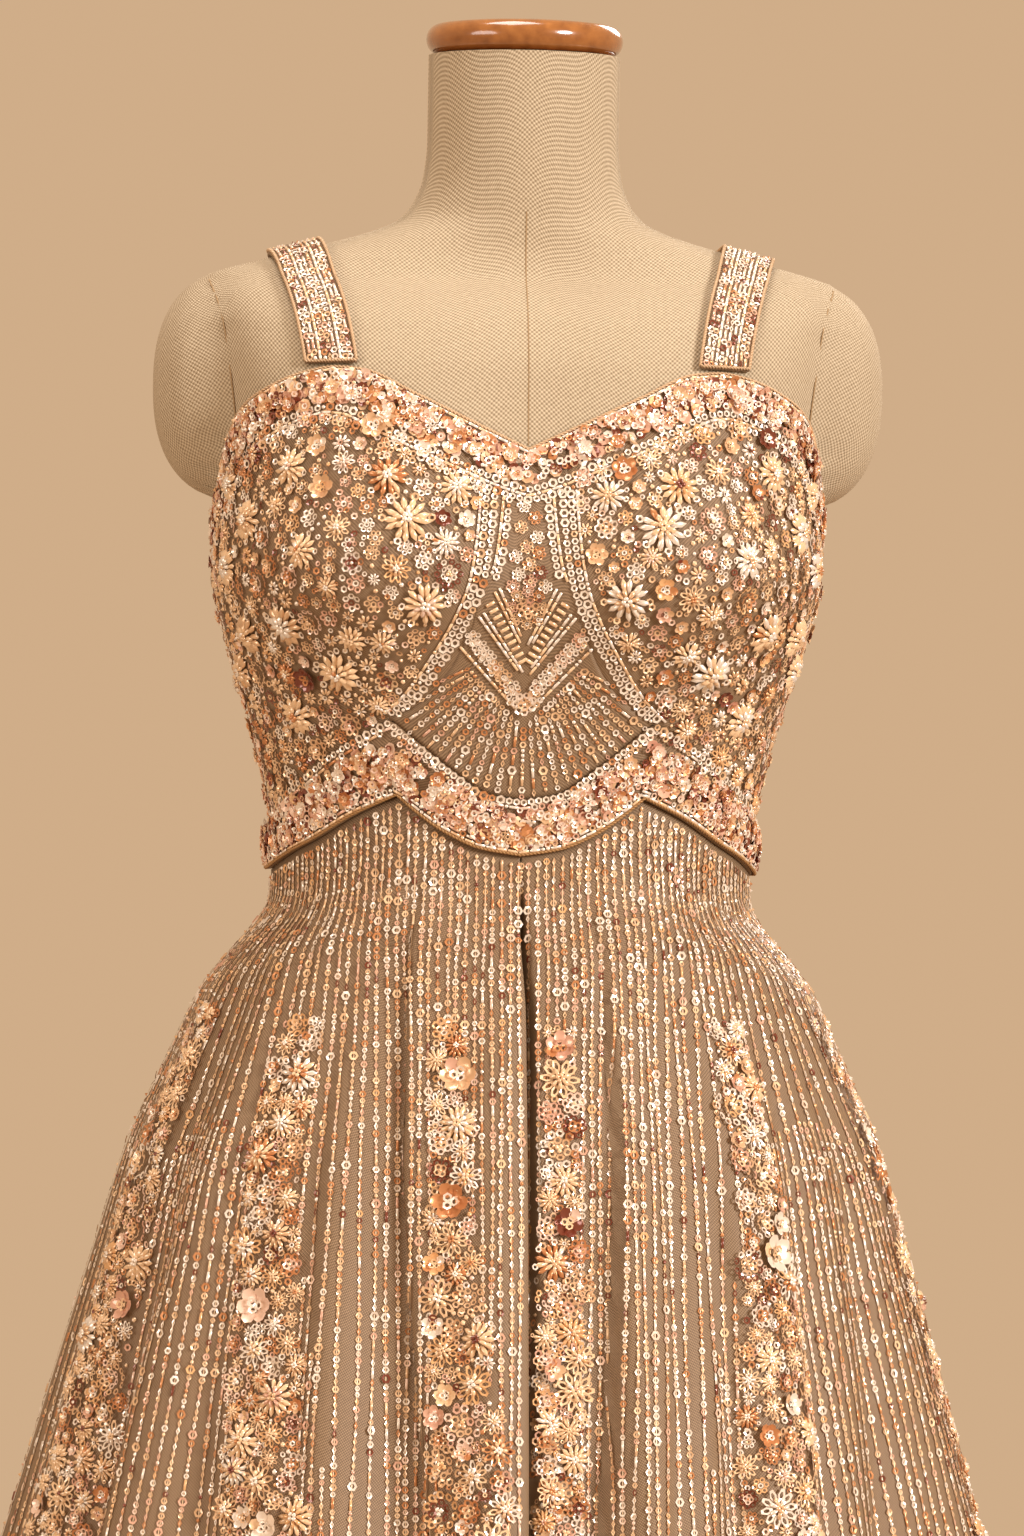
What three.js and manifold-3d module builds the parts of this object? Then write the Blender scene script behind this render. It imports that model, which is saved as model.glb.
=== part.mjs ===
// A sharara set on a limbless dress form: a sleeveless kurti with a sweetheart bodice and a flared,
// slit skirt, worn over wide sharara trousers. Millimetres, +Z up, the front faces -Y, the floor is z = 0.
// Left and right are as seen from the front, so left is -X.
import * as THREE from "three";
import { mergeVertices } from "three/addons/utils/BufferGeometryUtils.js";
import Module from "manifold-3d";

const wasm = await Module();
wasm.setup();

// Driving sizes.
const CLOTH = 2.2; // wall of a beaded, lined cloth layer
const UNDER_CLOTH = 1.2; // air between the form and the cloth on it
const SEAM = 0.2; // half of the gap at a seam
const KURTI_HEM = 440;
const WAISTBAND = { bottom: 957, top: 992, air: 1.2, wall: 3 };
const SHARARA_HEM = 34;
const CROTCH = { top: 790, bottom: 725, offset: 22 }; // the seam passes beside the pole
const NECK_TOP = 1461;
const FORM_BOTTOM = 800;
const POLE_RADIUS = 14;

const rad = THREE.MathUtils.degToRad;
const mix = THREE.MathUtils.lerp;
const ease = (low, high, value) => THREE.MathUtils.smoothstep(value, low, high);

// A monotone cubic curve through [place, value] points, held level outside them.
function curve(points) {
  const slope = points.slice(1).map((p, i) => (p[1] - points[i][1]) / (p[0] - points[i][0]));
  const tangent = points.map((_, i) => {
    if (i === 0) return slope[0];
    if (i === slope.length) return slope[i - 1];
    const product = slope[i - 1] * slope[i];
    return product <= 0 ? 0 : (2 * product) / (slope[i - 1] + slope[i]);
  });
  return (place) => {
    const last = points.length - 1;
    if (place <= points[0][0]) return points[0][1];
    if (place >= points[last][0]) return points[last][1];
    const i = points.findIndex((p) => p[0] > place) - 1;
    const [a, b] = [points[i], points[i + 1]];
    const width = b[0] - a[0];
    const t = (place - a[0]) / width;
    const u = 1 - t;
    return (
      a[1] * (1 + 2 * t) * u * u +
      tangent[i] * width * t * u * u +
      b[1] * t * t * (3 - 2 * t) -
      tangent[i + 1] * width * t * t * u
    );
  };
}

// Turns a table of rows with named columns into one curve over z for each column.
function sections(rows) {
  const columns = Object.keys(rows[0]).filter((name) => name !== "z");
  const curves = columns.map((name) => [name, curve(rows.map((row) => [row.z, row[name]]))]);
  return (z) => Object.fromEntries(curves.map(([name, at]) => [name, at(z)]));
}

// Distance from the axis to a rounded oval. The angle is 0 at the front and 90 degrees at +X.
function ovalRadius(angle, { halfWidth, front, back, power }) {
  const across = Math.abs(Math.sin(angle)) / halfWidth;
  const along = Math.abs(Math.cos(angle)) / (Math.cos(angle) > 0 ? front : back);
  return (across ** power + along ** power) ** (-1 / power);
}

const polar = (angle, radius, z) =>
  new THREE.Vector3(radius * Math.sin(angle), -radius * Math.cos(angle), z);

// The dress form, from the hip to the top of the neck.
const formSection = sections([
  { z: 800, halfWidth: 173, front: 118, back: 124, power: 2.3 },
  { z: 830, halfWidth: 176, front: 119, back: 127, power: 2.3 },
  { z: 880, halfWidth: 169, front: 113, back: 122, power: 2.3 },
  { z: 930, halfWidth: 153, front: 104, back: 110, power: 2.2 },
  { z: 975, halfWidth: 135, front: 96, back: 98, power: 2.2 },
  { z: 1012, halfWidth: 126, front: 92, back: 90, power: 2.2 },
  { z: 1050, halfWidth: 127, front: 95, back: 92, power: 2.2 },
  { z: 1090, halfWidth: 135, front: 100, back: 98, power: 2.2 },
  { z: 1135, halfWidth: 148, front: 104, back: 104, power: 2.3 },
  { z: 1180, halfWidth: 158, front: 105, back: 106, power: 2.4 },
  { z: 1220, halfWidth: 158.5, front: 103, back: 106, power: 2.5 },
  { z: 1255, halfWidth: 158.5, front: 101, back: 104, power: 2.8 },
  { z: 1290, halfWidth: 162, front: 97, back: 100, power: 3 },
  { z: 1315, halfWidth: 167, front: 86, back: 94, power: 2.9 },
  { z: 1331, halfWidth: 170, front: 70, back: 82, power: 2.7 },
  { z: 1341, halfWidth: 168, front: 56, back: 68, power: 2.5 },
  { z: 1347, halfWidth: 150, front: 53, back: 62, power: 2.4 },
  { z: 1353, halfWidth: 127, front: 51, back: 60, power: 2.3 },
  { z: 1360, halfWidth: 101, front: 50, back: 58, power: 2.2 },
  { z: 1367, halfWidth: 78, front: 50, back: 57, power: 2.1 },
  { z: 1373, halfWidth: 66, front: 50, back: 55, power: 2 },
  { z: 1382, halfWidth: 58.5, front: 50.5, back: 53, power: 2 },
  { z: 1395, halfWidth: 53.5, front: 51, back: 52, power: 2 },
  { z: 1415, halfWidth: 51.5, front: 51.5, back: 51.5, power: 2 },
  { z: NECK_TOP, halfWidth: 51.5, front: 51.5, back: 51.5, power: 2 },
]);
const BUST = { degrees: 34.5, z: 1185, height: 36, spread: 19.5, above: 50, below: 36 };

function bustHeight(angle, z) {
  const up = z > BUST.z ? BUST.above : BUST.below;
  const level = Math.exp(-0.5 * ((z - BUST.z) / up) ** 2);
  const degrees = THREE.MathUtils.radToDeg(angle);
  const side = (centre) => Math.exp(-0.5 * ((degrees - centre) / BUST.spread) ** 2);
  return BUST.height * level * (side(BUST.degrees) + side(-BUST.degrees));
}

// The shortest way round from one direction to another, in degrees.
const turnFrom = (from, to) => to - from - 360 * Math.round((to - from) / 360);
// Angles run from -180 to 180 degrees, so that the bust's bumps stay at the front.
const wrap = (angle) => Math.atan2(Math.sin(angle), Math.cos(angle));
const formRadius = (angle, z) =>
  ovalRadius(angle, formSection(z)) + bustHeight(wrap(angle), z);

const ARM_CAP = { x: 149, y: 4, z: 1282, width: 48, depth: 50, height: 62, power: 2.4 };
const ARM_SEAM = { x: 168, z: 1341, tilt: 4.4, lowest: 1219 };

// Edges of the bodice pieces: [degrees from the front, z].
const neckEdge = curve([
  [0, 1250], [14, 1263], [29, 1278], [42, 1290.5], [47, 1291.5], [52, 1289], [62, 1277], [68, 1266],
  [73, 1250], [77, 1235], [82, 1222], [86, 1217], [90, 1215], [105, 1213], [150, 1212], [180, 1210],
]);
const BAND_PEAK = 35; // degrees: where the band's scallops meet under each cup
const bandTopFront = curve([[0, 1066.5], [10, 1069.5], [21, 1083], [30, 1098], [BAND_PEAK, 1107.5]]);
const bandTopSide = curve([
  [BAND_PEAK, 1107.5], [48, 1093], [63, 1073], [88, 1048], [120, 1046], [180, 1045],
]);
const bandFootFront = curve([[0, 1037], [12, 1040.5], [23, 1049.5], [30, 1059], [BAND_PEAK, 1067.5]]);
const bandFootSide = curve([
  [BAND_PEAK, 1067.5], [47, 1056.5], [63, 1039], [88, 1022], [120, 1019], [180, 1018],
]);
const bandTop = (degrees) => (degrees < BAND_PEAK ? bandTopFront : bandTopSide)(degrees);
const bandFoot = (degrees) => (degrees < BAND_PEAK ? bandFootFront : bandFootSide)(degrees);
// The seam between the centre front and each cup: [z, degrees].
const cupSeam = curve([
  [1107, 35], [1122, 27], [1144, 18.5], [1160, 13], [1178, 10], [1201, 8.5], [1229, 9], [1258.5, 9.5],
]);
const CUP_SEAM_TOP = 1258.5;
const SIDE = 90;

// Outer face of the plain bodice cloth. It spans the hollow between the cups.
function bodiceRadius(angle, z) {
  const degrees = THREE.MathUtils.radToDeg(wrap(angle));
  const bridge = 5 * Math.exp(-((degrees / 14) ** 2)) * Math.exp(-(((z - 1180) / 45) ** 2));
  return formRadius(angle, z) + UNDER_CLOTH + CLOTH + bridge;
}

// Thick applique: lumps on the outer face, about as wide as one beaded flower.
function lumps(angle, z, height) {
  const across = Math.sin(angle * 13 + Math.sin(z / 23));
  const up = Math.sin(z / 8.5 + 2 * Math.sin(angle * 5));
  return height * (0.55 + 0.45 * across * up);
}

// The kurti's skirt.
const skirtSection = sections([
  { z: 440, halfWidth: 321, front: 262, back: 268, power: 2.05 },
  { z: 600, halfWidth: 280, front: 229, back: 235, power: 2.05 },
  { z: 681, halfWidth: 257, front: 211, back: 214, power: 2.05 },
  { z: 746, halfWidth: 239, front: 197, back: 197, power: 2.05 },
  { z: 811, halfWidth: 220.5, front: 180, back: 178, power: 2.05 },
  { z: 876, halfWidth: 201.5, front: 161, back: 156, power: 2.1 },
  { z: 908, halfWidth: 187.5, front: 149, back: 143, power: 2.1 },
  { z: 941, halfWidth: 173, front: 136, back: 128, power: 2.1 },
  { z: 973, halfWidth: 157.5, front: 123, back: 114, power: 2.15 },
  { z: 989, halfWidth: 147, front: 117, back: 107, power: 2.2 },
  { z: 1005, halfWidth: 133, front: 110, back: 100, power: 2.2 },
  { z: 1020, halfWidth: 129, front: 105, back: 95, power: 2.2 },
  { z: 1075, halfWidth: 131, front: 104, back: 97, power: 2.2 },
]);
// Each fold's ridge: where it is, how far it stands out, and how far it reaches to either side.
const SKIRT_FOLDS = [
  { degrees: -160, height: 1.0, left: 9, right: 8 },
  { degrees: -137, height: 0.8, left: 9, right: 9 },
  { degrees: -115, height: 1.0, left: 8, right: 9 },
  { degrees: -93, height: 0.9, left: 8, right: 7 },
  { degrees: -76, height: 0.7, left: 8, right: 7 },
  { degrees: -57, height: 1.2, left: 4, right: 11 },
  { degrees: -31, height: 0.9, left: 8, right: 9 },
  { degrees: -4, height: 1.1, left: 7, right: 8 },
  { degrees: 18, height: 1.2, left: 4, right: 10 },
  { degrees: 38, height: 0.8, left: 8, right: 9 },
  { degrees: 72, height: 1.1, left: 10, right: 7 },
  { degrees: 88, height: 0.6, left: 6, right: 7 },
  { degrees: 105, height: 0.9, left: 8, right: 8 },
  { degrees: 125, height: 1.0, left: 9, right: 8 },
  { degrees: 146, height: 0.8, left: 8, right: 9 },
  { degrees: 168, height: 1.0, left: 8, right: 9 },
];
const FOLD_DEPTH = { hem: 24, middle: 0.5 }; // height of a full fold at the hem, and its mean level

function foldPattern(degrees) {
  const ridge = (fold) => {
    const off = turnFrom(fold.degrees, degrees);
    return fold.height * Math.exp(-((off / (off < 0 ? fold.left : fold.right)) ** 2));
  };
  return SKIRT_FOLDS.reduce((sum, fold) => sum + ridge(fold), 0) - FOLD_DEPTH.middle;
}

function skirtRadius(angle, z) {
  const degrees = THREE.MathUtils.radToDeg(wrap(angle));
  const drop = bandFoot(Math.abs(degrees)) - z;
  const flared = ovalRadius(angle, skirtSection(z));
  const fitted = bodiceRadius(angle, z);
  const fullness = Math.max(0, drop - 15) / (1037 - KURTI_HEM - 15);
  return mix(fitted, flared, ease(0, 70, drop)) + FOLD_DEPTH.hem * fullness * foldPattern(degrees);
}

// Columns of applique flowers run down the skirt: degrees from the front at their top and low down.
const FLOWER_COLUMNS = [
  { top: -152, low: -146 },
  { top: -112, low: -109 },
  { top: -74, low: -70.5 },
  { top: -48, low: -36.5 },
  { top: -16, low: -6.2 },
  { top: 9.4, low: 4.4 },
  { top: 46, low: 38.5 },
  { top: 74, low: 78 },
  { top: 112, low: 112 },
  { top: 150, low: 146 },
  { top: 180, low: 180 },
];
const FLOWER_COLUMN = { top: 952, low: 700, halfWidth: [10, 24], height: 3 };

function flowerColumn(angle, z, radius) {
  const degrees = THREE.MathUtils.radToDeg(wrap(angle));
  const { top, low, halfWidth, height } = FLOWER_COLUMN;
  const down = (top - z) / (top - low);
  const half = mix(...halfWidth, ease(0, 1, down));
  const near = Math.min(
    ...FLOWER_COLUMNS.map((column) =>
      Math.abs(turnFrom(mix(column.top, column.low, Math.min(1, Math.max(0, down))), degrees)),
    ),
  );
  const inside = 1 - ease(0.8 * half, 1.3 * half, rad(near) * radius);
  return lumps(angle, z, height) * inside * ease(top, top - 15, z);
}

// A closed wall over a grid. outer and inner give the two faces at (u, v), from 0 to 1 each. Rows from
// closedFrom on join their last column to their first, so 0 makes a tube and Infinity an open panel.
function wallGeometry({ across, down, outer, inner, closedFrom = Infinity }) {
  const points = [];
  const indexOf = new Map();
  const isClosed = (row) => row >= closedFrom;
  for (const [face, at] of [outer, inner].entries()) {
    down.forEach((v, row) =>
      across.forEach((u, column) => {
        if (isClosed(row) && column === across.length - 1) return;
        indexOf.set(`${face},${row},${column}`, points.length);
        points.push(at(u, v));
      }),
    );
  }
  const at = (face, row, column) =>
    indexOf.get(`${face},${row},${isClosed(row) ? column % (across.length - 1) : column}`);
  const faces = [];
  const quad = (a, b, c, d) => faces.push([a, b, c], [a, c, d]);
  const [rows, columns] = [down.length - 1, across.length - 1];
  for (let row = 0; row < rows; row++) {
    for (let column = 0; column < columns; column++) {
      quad(at(0, row, column), at(0, row + 1, column), at(0, row + 1, column + 1), at(0, row, column + 1));
      quad(at(1, row, column), at(1, row, column + 1), at(1, row + 1, column + 1), at(1, row + 1, column));
    }
    if (!isClosed(row)) {
      quad(at(0, row, 0), at(1, row, 0), at(1, row + 1, 0), at(0, row + 1, 0));
      quad(at(0, row, columns), at(0, row + 1, columns), at(1, row + 1, columns), at(1, row, columns));
    }
  }
  for (let column = 0; column < columns; column++) {
    quad(at(0, 0, column), at(0, 0, column + 1), at(1, 0, column + 1), at(1, 0, column));
    quad(at(0, rows, column), at(1, rows, column), at(1, rows, column + 1), at(0, rows, column + 1));
  }
  return facingOut(points, faces);
}

// A geometry from points and triangles, turned so that its faces point outwards.
function facingOut(points, faces) {
  const volume = faces.reduce(
    (sum, [a, b, c]) => sum + points[a].dot(new THREE.Vector3().crossVectors(points[b], points[c])),
    0,
  );
  const turned = volume < 0 ? faces.map(([a, b, c]) => [a, c, b]) : faces;
  const geometry = new THREE.BufferGeometry();
  geometry.setAttribute("position", new THREE.Float32BufferAttribute(points.flatMap((p) => p.toArray()), 3));
  geometry.setIndex(turned.flat());
  return geometry;
}

// A closed solid through rings of points, with a flat cap at either end.
function loftGeometry(rings) {
  const points = rings.flat();
  const size = rings[0].length;
  const faces = [];
  for (let row = 0; row + 1 < rings.length; row++) {
    for (let i = 0; i < size; i++) {
      const [a, b] = [row * size + i, row * size + ((i + 1) % size)];
      faces.push([a, b, b + size], [a, b + size, a + size]);
    }
  }
  const last = (rings.length - 1) * size;
  const lowCentre = points.push(centreOf(rings[0])) - 1;
  const highCentre = points.push(centreOf(rings.at(-1))) - 1;
  for (let i = 0; i < size; i++) {
    const next = (i + 1) % size;
    faces.push([lowCentre, next, i], [highCentre, last + i, last + next]);
  }
  return facingOut(points, faces);
}

const centreOf = (ring) =>
  ring.reduce((sum, p) => sum.add(p), new THREE.Vector3()).divideScalar(ring.length);

function toSolid(geometry, matrix = new THREE.Matrix4()) {
  const bare = geometry.clone().applyMatrix4(matrix);
  bare.deleteAttribute("normal");
  bare.deleteAttribute("uv");
  const merged = mergeVertices(bare, 1e-3);
  return new wasm.Manifold(
    new wasm.Mesh({
      numProp: 3,
      vertProperties: new Float32Array(merged.attributes.position.array),
      triVerts: new Uint32Array(merged.index.array),
    }),
  );
}

function toGeometry(solid) {
  const mesh = solid.getMesh();
  const geometry = new THREE.BufferGeometry();
  geometry.setAttribute("position", new THREE.BufferAttribute(mesh.vertProperties, 3));
  geometry.setIndex(new THREE.BufferAttribute(mesh.triVerts, 1));
  return geometry;
}

// Evenly spaced numbers from 0 to 1.
const steps = (count) => Array.from({ length: count + 1 }, (_, i) => i / count);
const STEP_FRONT = 5; // degrees between columns at the front of the bodice and band

const MATERIALS = {
  linen: { color: 0xd9bd92, roughness: 0.9, metalness: 0 },
  wood: { color: 0x8a4a1c, roughness: 0.3, metalness: 0 },
  net: { color: 0xc9a27c, roughness: 0.6, metalness: 0.1 },
  sequins: { color: 0xd9a48a, roughness: 0.35, metalness: 0.5 },
  gold: { color: 0xa9793c, roughness: 0.5, metalness: 0.3 },
  satin: { color: 0xbf9a76, roughness: 0.5, metalness: 0 },
  steel: { color: 0x2c2a29, roughness: 0.4, metalness: 0.6 },
};

const group = new THREE.Group();
function add(name, geometry, material) {
  const mesh = new THREE.Mesh(geometry, new THREE.MeshStandardMaterial(MATERIALS[material]));
  mesh.name = name;
  group.add(mesh);
}

// The dress form: the torso with a cap where each arm would be, parted at the armhole seams.
function armCapGeometry(side) {
  const ball = new THREE.SphereGeometry(1, 20, 14);
  const place = ball.attributes.position;
  const { width, depth, height, power } = ARM_CAP;
  for (let i = 0; i < place.count; i++) {
    const p = new THREE.Vector3().fromBufferAttribute(place, i);
    const stretch = [p.x / width, p.y / depth, p.z / height].reduce((sum, d) => sum + Math.abs(d) ** power, 0);
    p.multiplyScalar(stretch ** (-1 / power));
    place.setXYZ(i, side * ARM_CAP.x + p.x, ARM_CAP.y + p.y, ARM_CAP.z + p.z);
  }
  return ball;
}

// The space outside an armhole seam, moved out by a gap.
function outsideArmSeam(side, gap) {
  const size = 400;
  const box = new THREE.BoxGeometry(size, size, size);
  const tall = ARM_SEAM.z - ARM_SEAM.lowest;
  box.translate(size / 2 + gap, 0, size / 2 - tall);
  const turned = new THREE.Matrix4().makeRotationY(rad(side * ARM_SEAM.tilt));
  if (side < 0) turned.multiply(new THREE.Matrix4().makeRotationZ(Math.PI));
  const placed = new THREE.Matrix4().makeTranslation(side * ARM_SEAM.x, 0, ARM_SEAM.z).multiply(turned);
  return toSolid(box, placed);
}

function addForm() {
  const levels = [
    800, 830, 865, 900, 930, WAISTBAND.bottom, 975, WAISTBAND.top, 1012, 1032, 1055, 1085, 1115, 1145, 1165,
    1185, 1205, 1230, 1260, 1290, 1315, 1331, 1341, 1347, 1353, 1360, 1367, 1374, 1384, 1400, NECK_TOP,
  ];
  const ring = (z) => steps(36).slice(1).map((u) => polar(2 * Math.PI * u, formRadius(2 * Math.PI * u, z), z));
  const loft = toSolid(loftGeometry(levels.map(ring)));
  const whole = loft.add(toSolid(armCapGeometry(-1))).add(toSolid(armCapGeometry(1)));
  const torso = whole.subtract(outsideArmSeam(-1, 0)).subtract(outsideArmSeam(1, 0));
  add("form_torso", toGeometry(torso), "linen");
  for (const [side, name] of [[-1, "left"], [1, "right"]]) {
    add(`form_arm_cap_${name}`, toGeometry(whole.intersect(outsideArmSeam(side, 2 * SEAM))), "linen");
  }
  const cap = { radius: 53, neck: 50, height: 18.5 };
  const outline = [
    [0, 0], [cap.neck, 0], [cap.radius - 1, 3], [cap.radius, 7], [cap.radius - 1.5, 12],
    [cap.radius - 6, 16], [cap.radius - 20, cap.height - 0.5], [0, cap.height],
  ].map(([r, z]) => new THREE.Vector2(r, z));
  const lathe = new THREE.LatheGeometry(outline, 32);
  lathe.rotateX(Math.PI / 2).translate(0, 0, NECK_TOP + 2 * SEAM);
  add("neck_cap", lathe, "wood");
}

// A round floor plate with a boss, and the pole that stands in it and carries the form on a flange.
function addStand() {
  const plate = { radius: 170, thick: 10, boss: 26, bossTop: 28, socket: 4 };
  const bore = POLE_RADIUS + 2 * SEAM;
  const base = [
    [0, 0], [plate.radius - 2, 0], [plate.radius, 3], [plate.radius - 3, plate.thick],
    [plate.boss, plate.thick + 4], [plate.boss - 4, plate.bossTop], [bore, plate.bossTop],
    [bore, plate.socket], [0, plate.socket],
  ];
  const flange = { radius: 45, thick: 5 };
  const foot = plate.socket + 2 * SEAM;
  const top = FORM_BOTTOM - 2 * SEAM;
  const pole = [
    [0, foot], [POLE_RADIUS, foot], [POLE_RADIUS, top - flange.thick - 12],
    [POLE_RADIUS + 5, top - flange.thick], [flange.radius, top - flange.thick], [flange.radius, top], [0, top],
  ];
  for (const [name, outline, segments] of [["stand_base", base, 36], ["stand_pole", pole, 24]]) {
    const lathe = new THREE.LatheGeometry(outline.map(([r, z]) => new THREE.Vector2(r, z)), segments);
    add(name, lathe.rotateX(Math.PI / 2), "steel");
  }
}

// A bodice panel fills the space between four edges, each a function that gives [degrees, z].
function addPanel(name, columns, { foot, top, left, right }) {
  const rows = 10;
  const corner = { lowLeft: foot(0), lowRight: foot(1), highLeft: top(0), highRight: top(1) };
  const place = (u, v) =>
    [0, 1].map(
      (k) =>
        mix(foot(u)[k], top(u)[k], v) +
        mix(left(v)[k], right(v)[k], u) -
        mix(
          mix(corner.lowLeft[k], corner.lowRight[k], u),
          mix(corner.highLeft[k], corner.highRight[k], u),
          v,
        ),
    );
  const at = (raised, wall) => (u, v) => {
    const [degrees, z] = place(u, v);
    const angle = rad(degrees);
    const atSeam = Math.min(1, 10 * u, 10 * (1 - u), 10 * v + 0.3, 10 * (1 - v) + 0.3);
    return polar(angle, bodiceRadius(angle, z) - wall + raised * atSeam * lumps(angle, z, 2.4), z);
  };
  const geometry = wallGeometry({ across: steps(columns), down: steps(rows), outer: at(1, 0), inner: at(0, CLOTH) });
  add(name, geometry, "net");
}

const seamShift = (degrees, z) => THREE.MathUtils.radToDeg(SEAM / bodiceRadius(rad(degrees), z));

function addBodice() {
  const footAt = (degrees) => [degrees, bandTop(Math.abs(degrees)) + SEAM];
  const topAt = (degrees) => [degrees, neckEdge(Math.abs(degrees))];
  const [seamLow, seamHigh] = [cupSeam(0), cupSeam(2000)];
  // The seam at height v, moved towards the cup (+1) or the centre (-1).
  const seamAt = (side, v, towards) => {
    const z = mix(bandTop(seamLow) + SEAM, neckEdge(seamHigh), v);
    const degrees = mix(
      cupSeam(mix(1107, CUP_SEAM_TOP, v)),
      v < 0.5 ? seamLow : seamHigh,
      v === 0 || v === 1 ? 1 : 0,
    );
    return [side * (degrees + towards * seamShift(degrees, z)), z];
  };
  const along = (edge, from, to) => (u) => edge(mix(from, to, u));
  const inset = (v, side) => seamAt(side, v, -1)[0];
  addPanel("bodice_centre_front", (2 * BAND_PEAK) / STEP_FRONT, {
    foot: along(footAt, inset(0, -1), inset(0, 1)),
    top: along(topAt, inset(1, -1), inset(1, 1)),
    left: (v) => seamAt(-1, v, -1),
    right: (v) => seamAt(1, v, -1),
  });
  for (const [side, name] of [[-1, "left"], [1, "right"]]) {
    const flank = SIDE - seamShift(SIDE, 1130);
    const rear = SIDE + seamShift(SIDE, 1130);
    const back = 180 - seamShift(180, 1130);
    const straight = (degrees) => (v) => [
      side * degrees,
      mix(footAt(degrees)[1], topAt(degrees)[1], v),
    ];
    addPanel(`bodice_cup_${name}`, (SIDE - BAND_PEAK) / STEP_FRONT, {
      foot: along((d) => footAt(side * d), seamAt(1, 0, 1)[0], flank),
      top: along((d) => topAt(side * d), seamAt(1, 1, 1)[0], flank),
      left: (v) => seamAt(side, v, 1),
      right: straight(flank),
    });
    addPanel(`bodice_back_${name}`, 9, {
      foot: along((d) => footAt(side * d), rear, back),
      top: along((d) => topAt(side * d), rear, back),
      left: straight(rear),
      right: straight(back),
    });
  }
}

// Columns round the band: every 5 degrees over the front half and every 10 degrees behind.
function bandColumns() {
  const end = 180 - seamShift(180, 1030);
  const rear = [-end];
  for (let d = -170; d < -SIDE; d += 10) rear.push(d);
  const front = [];
  for (let d = -SIDE; d <= SIDE; d += STEP_FRONT) front.push(d);
  return [...rear, ...front, ...rear.map((d) => -d).reverse()];
}

function addBand() {
  const columns = bandColumns();
  const height = (degrees, v) => mix(bandTop(Math.abs(degrees)) - SEAM, bandFoot(Math.abs(degrees)), v);
  const at = (out) => (degrees, v) => {
    const angle = rad(degrees);
    const z = height(degrees, v);
    const puffed = out * (1.2 + 1.2 * Math.sin(Math.PI * v));
    return polar(angle, bodiceRadius(angle, z) - CLOTH * (1 - out) + puffed, z);
  };
  const geometry = wallGeometry({ across: columns, down: steps(2), outer: at(1), inner: at(0) });
  add("underbust_band", geometry, "sequins");

  // The piping lies on the band's lower edge.
  const PIPING = { radius: 1.2, up: 1.2 };
  const corners = [[-1, 0], [0, -1], [1, 0], [0, 1]];
  const section = (degrees) => {
    const angle = rad(degrees);
    const z = bandFoot(Math.abs(degrees)) + PIPING.up;
    const out = bodiceRadius(angle, z) + 1.5 + PIPING.radius + 2 * SEAM;
    return corners.map(([r, up]) => polar(angle, out + r * PIPING.radius, z + up * PIPING.radius));
  };
  add("band_piping", loftGeometry(columns.map(section)), "gold");
}

// A strap follows the form from the front neck edge over the shoulder to the back.
function addStrap(side, name) {
  const STRAP = { halfWidth: 13.5, pivot: 1283, thick: 2.4, air: 1.2 };
  const distance = curve([[0, 103], [0.42, 123], [1, 86]]); // from the middle, along the strap
  const ends = { front: 6.2, back: 213.5 }; // degrees above the horizontal, seen from the side
  const reach = (x, direction) => {
    let [low, high] = [0, 200];
    for (let i = 0; i < 40; i++) {
      const middle = (low + high) / 2;
      const [y, z] = [middle * direction.y, STRAP.pivot + middle * direction.z];
      const inside = z < NECK_TOP && Math.hypot(x, y) < formRadius(Math.atan2(x, -y), z);
      if (inside) low = middle;
      else high = middle;
    }
    return low;
  };
  const at = (lift) => (u, v) => {
    const x = side * (distance(v) + mix(-1, 1, u) * STRAP.halfWidth);
    const turn = rad(mix(ends.front, ends.back, v));
    const direction = new THREE.Vector3(0, -Math.cos(turn), Math.sin(turn));
    return direction.multiplyScalar(reach(x, direction) + lift).add(new THREE.Vector3(x, 0, STRAP.pivot));
  };
  const geometry = wallGeometry({
    across: steps(2),
    down: steps(20),
    outer: at(STRAP.air + STRAP.thick),
    inner: at(STRAP.air),
  });
  add(`strap_${name}`, geometry, "sequins");
}

// The slit runs down from the band's lowest point. The left front panel laps over the right one.
const slitDrop = (z) => bandFoot(0) - z;
const leftEdge = (z) => 1.2 * ease(40, 90, slitDrop(z));
const rightEdge = (z) => 0.5 - 4.5 * ease(40, 110, slitDrop(z));
const tuckedUnder = (degrees, z) => 10 * ease(0, 90, slitDrop(z)) * (1 - ease(-1, 7, degrees));

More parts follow.
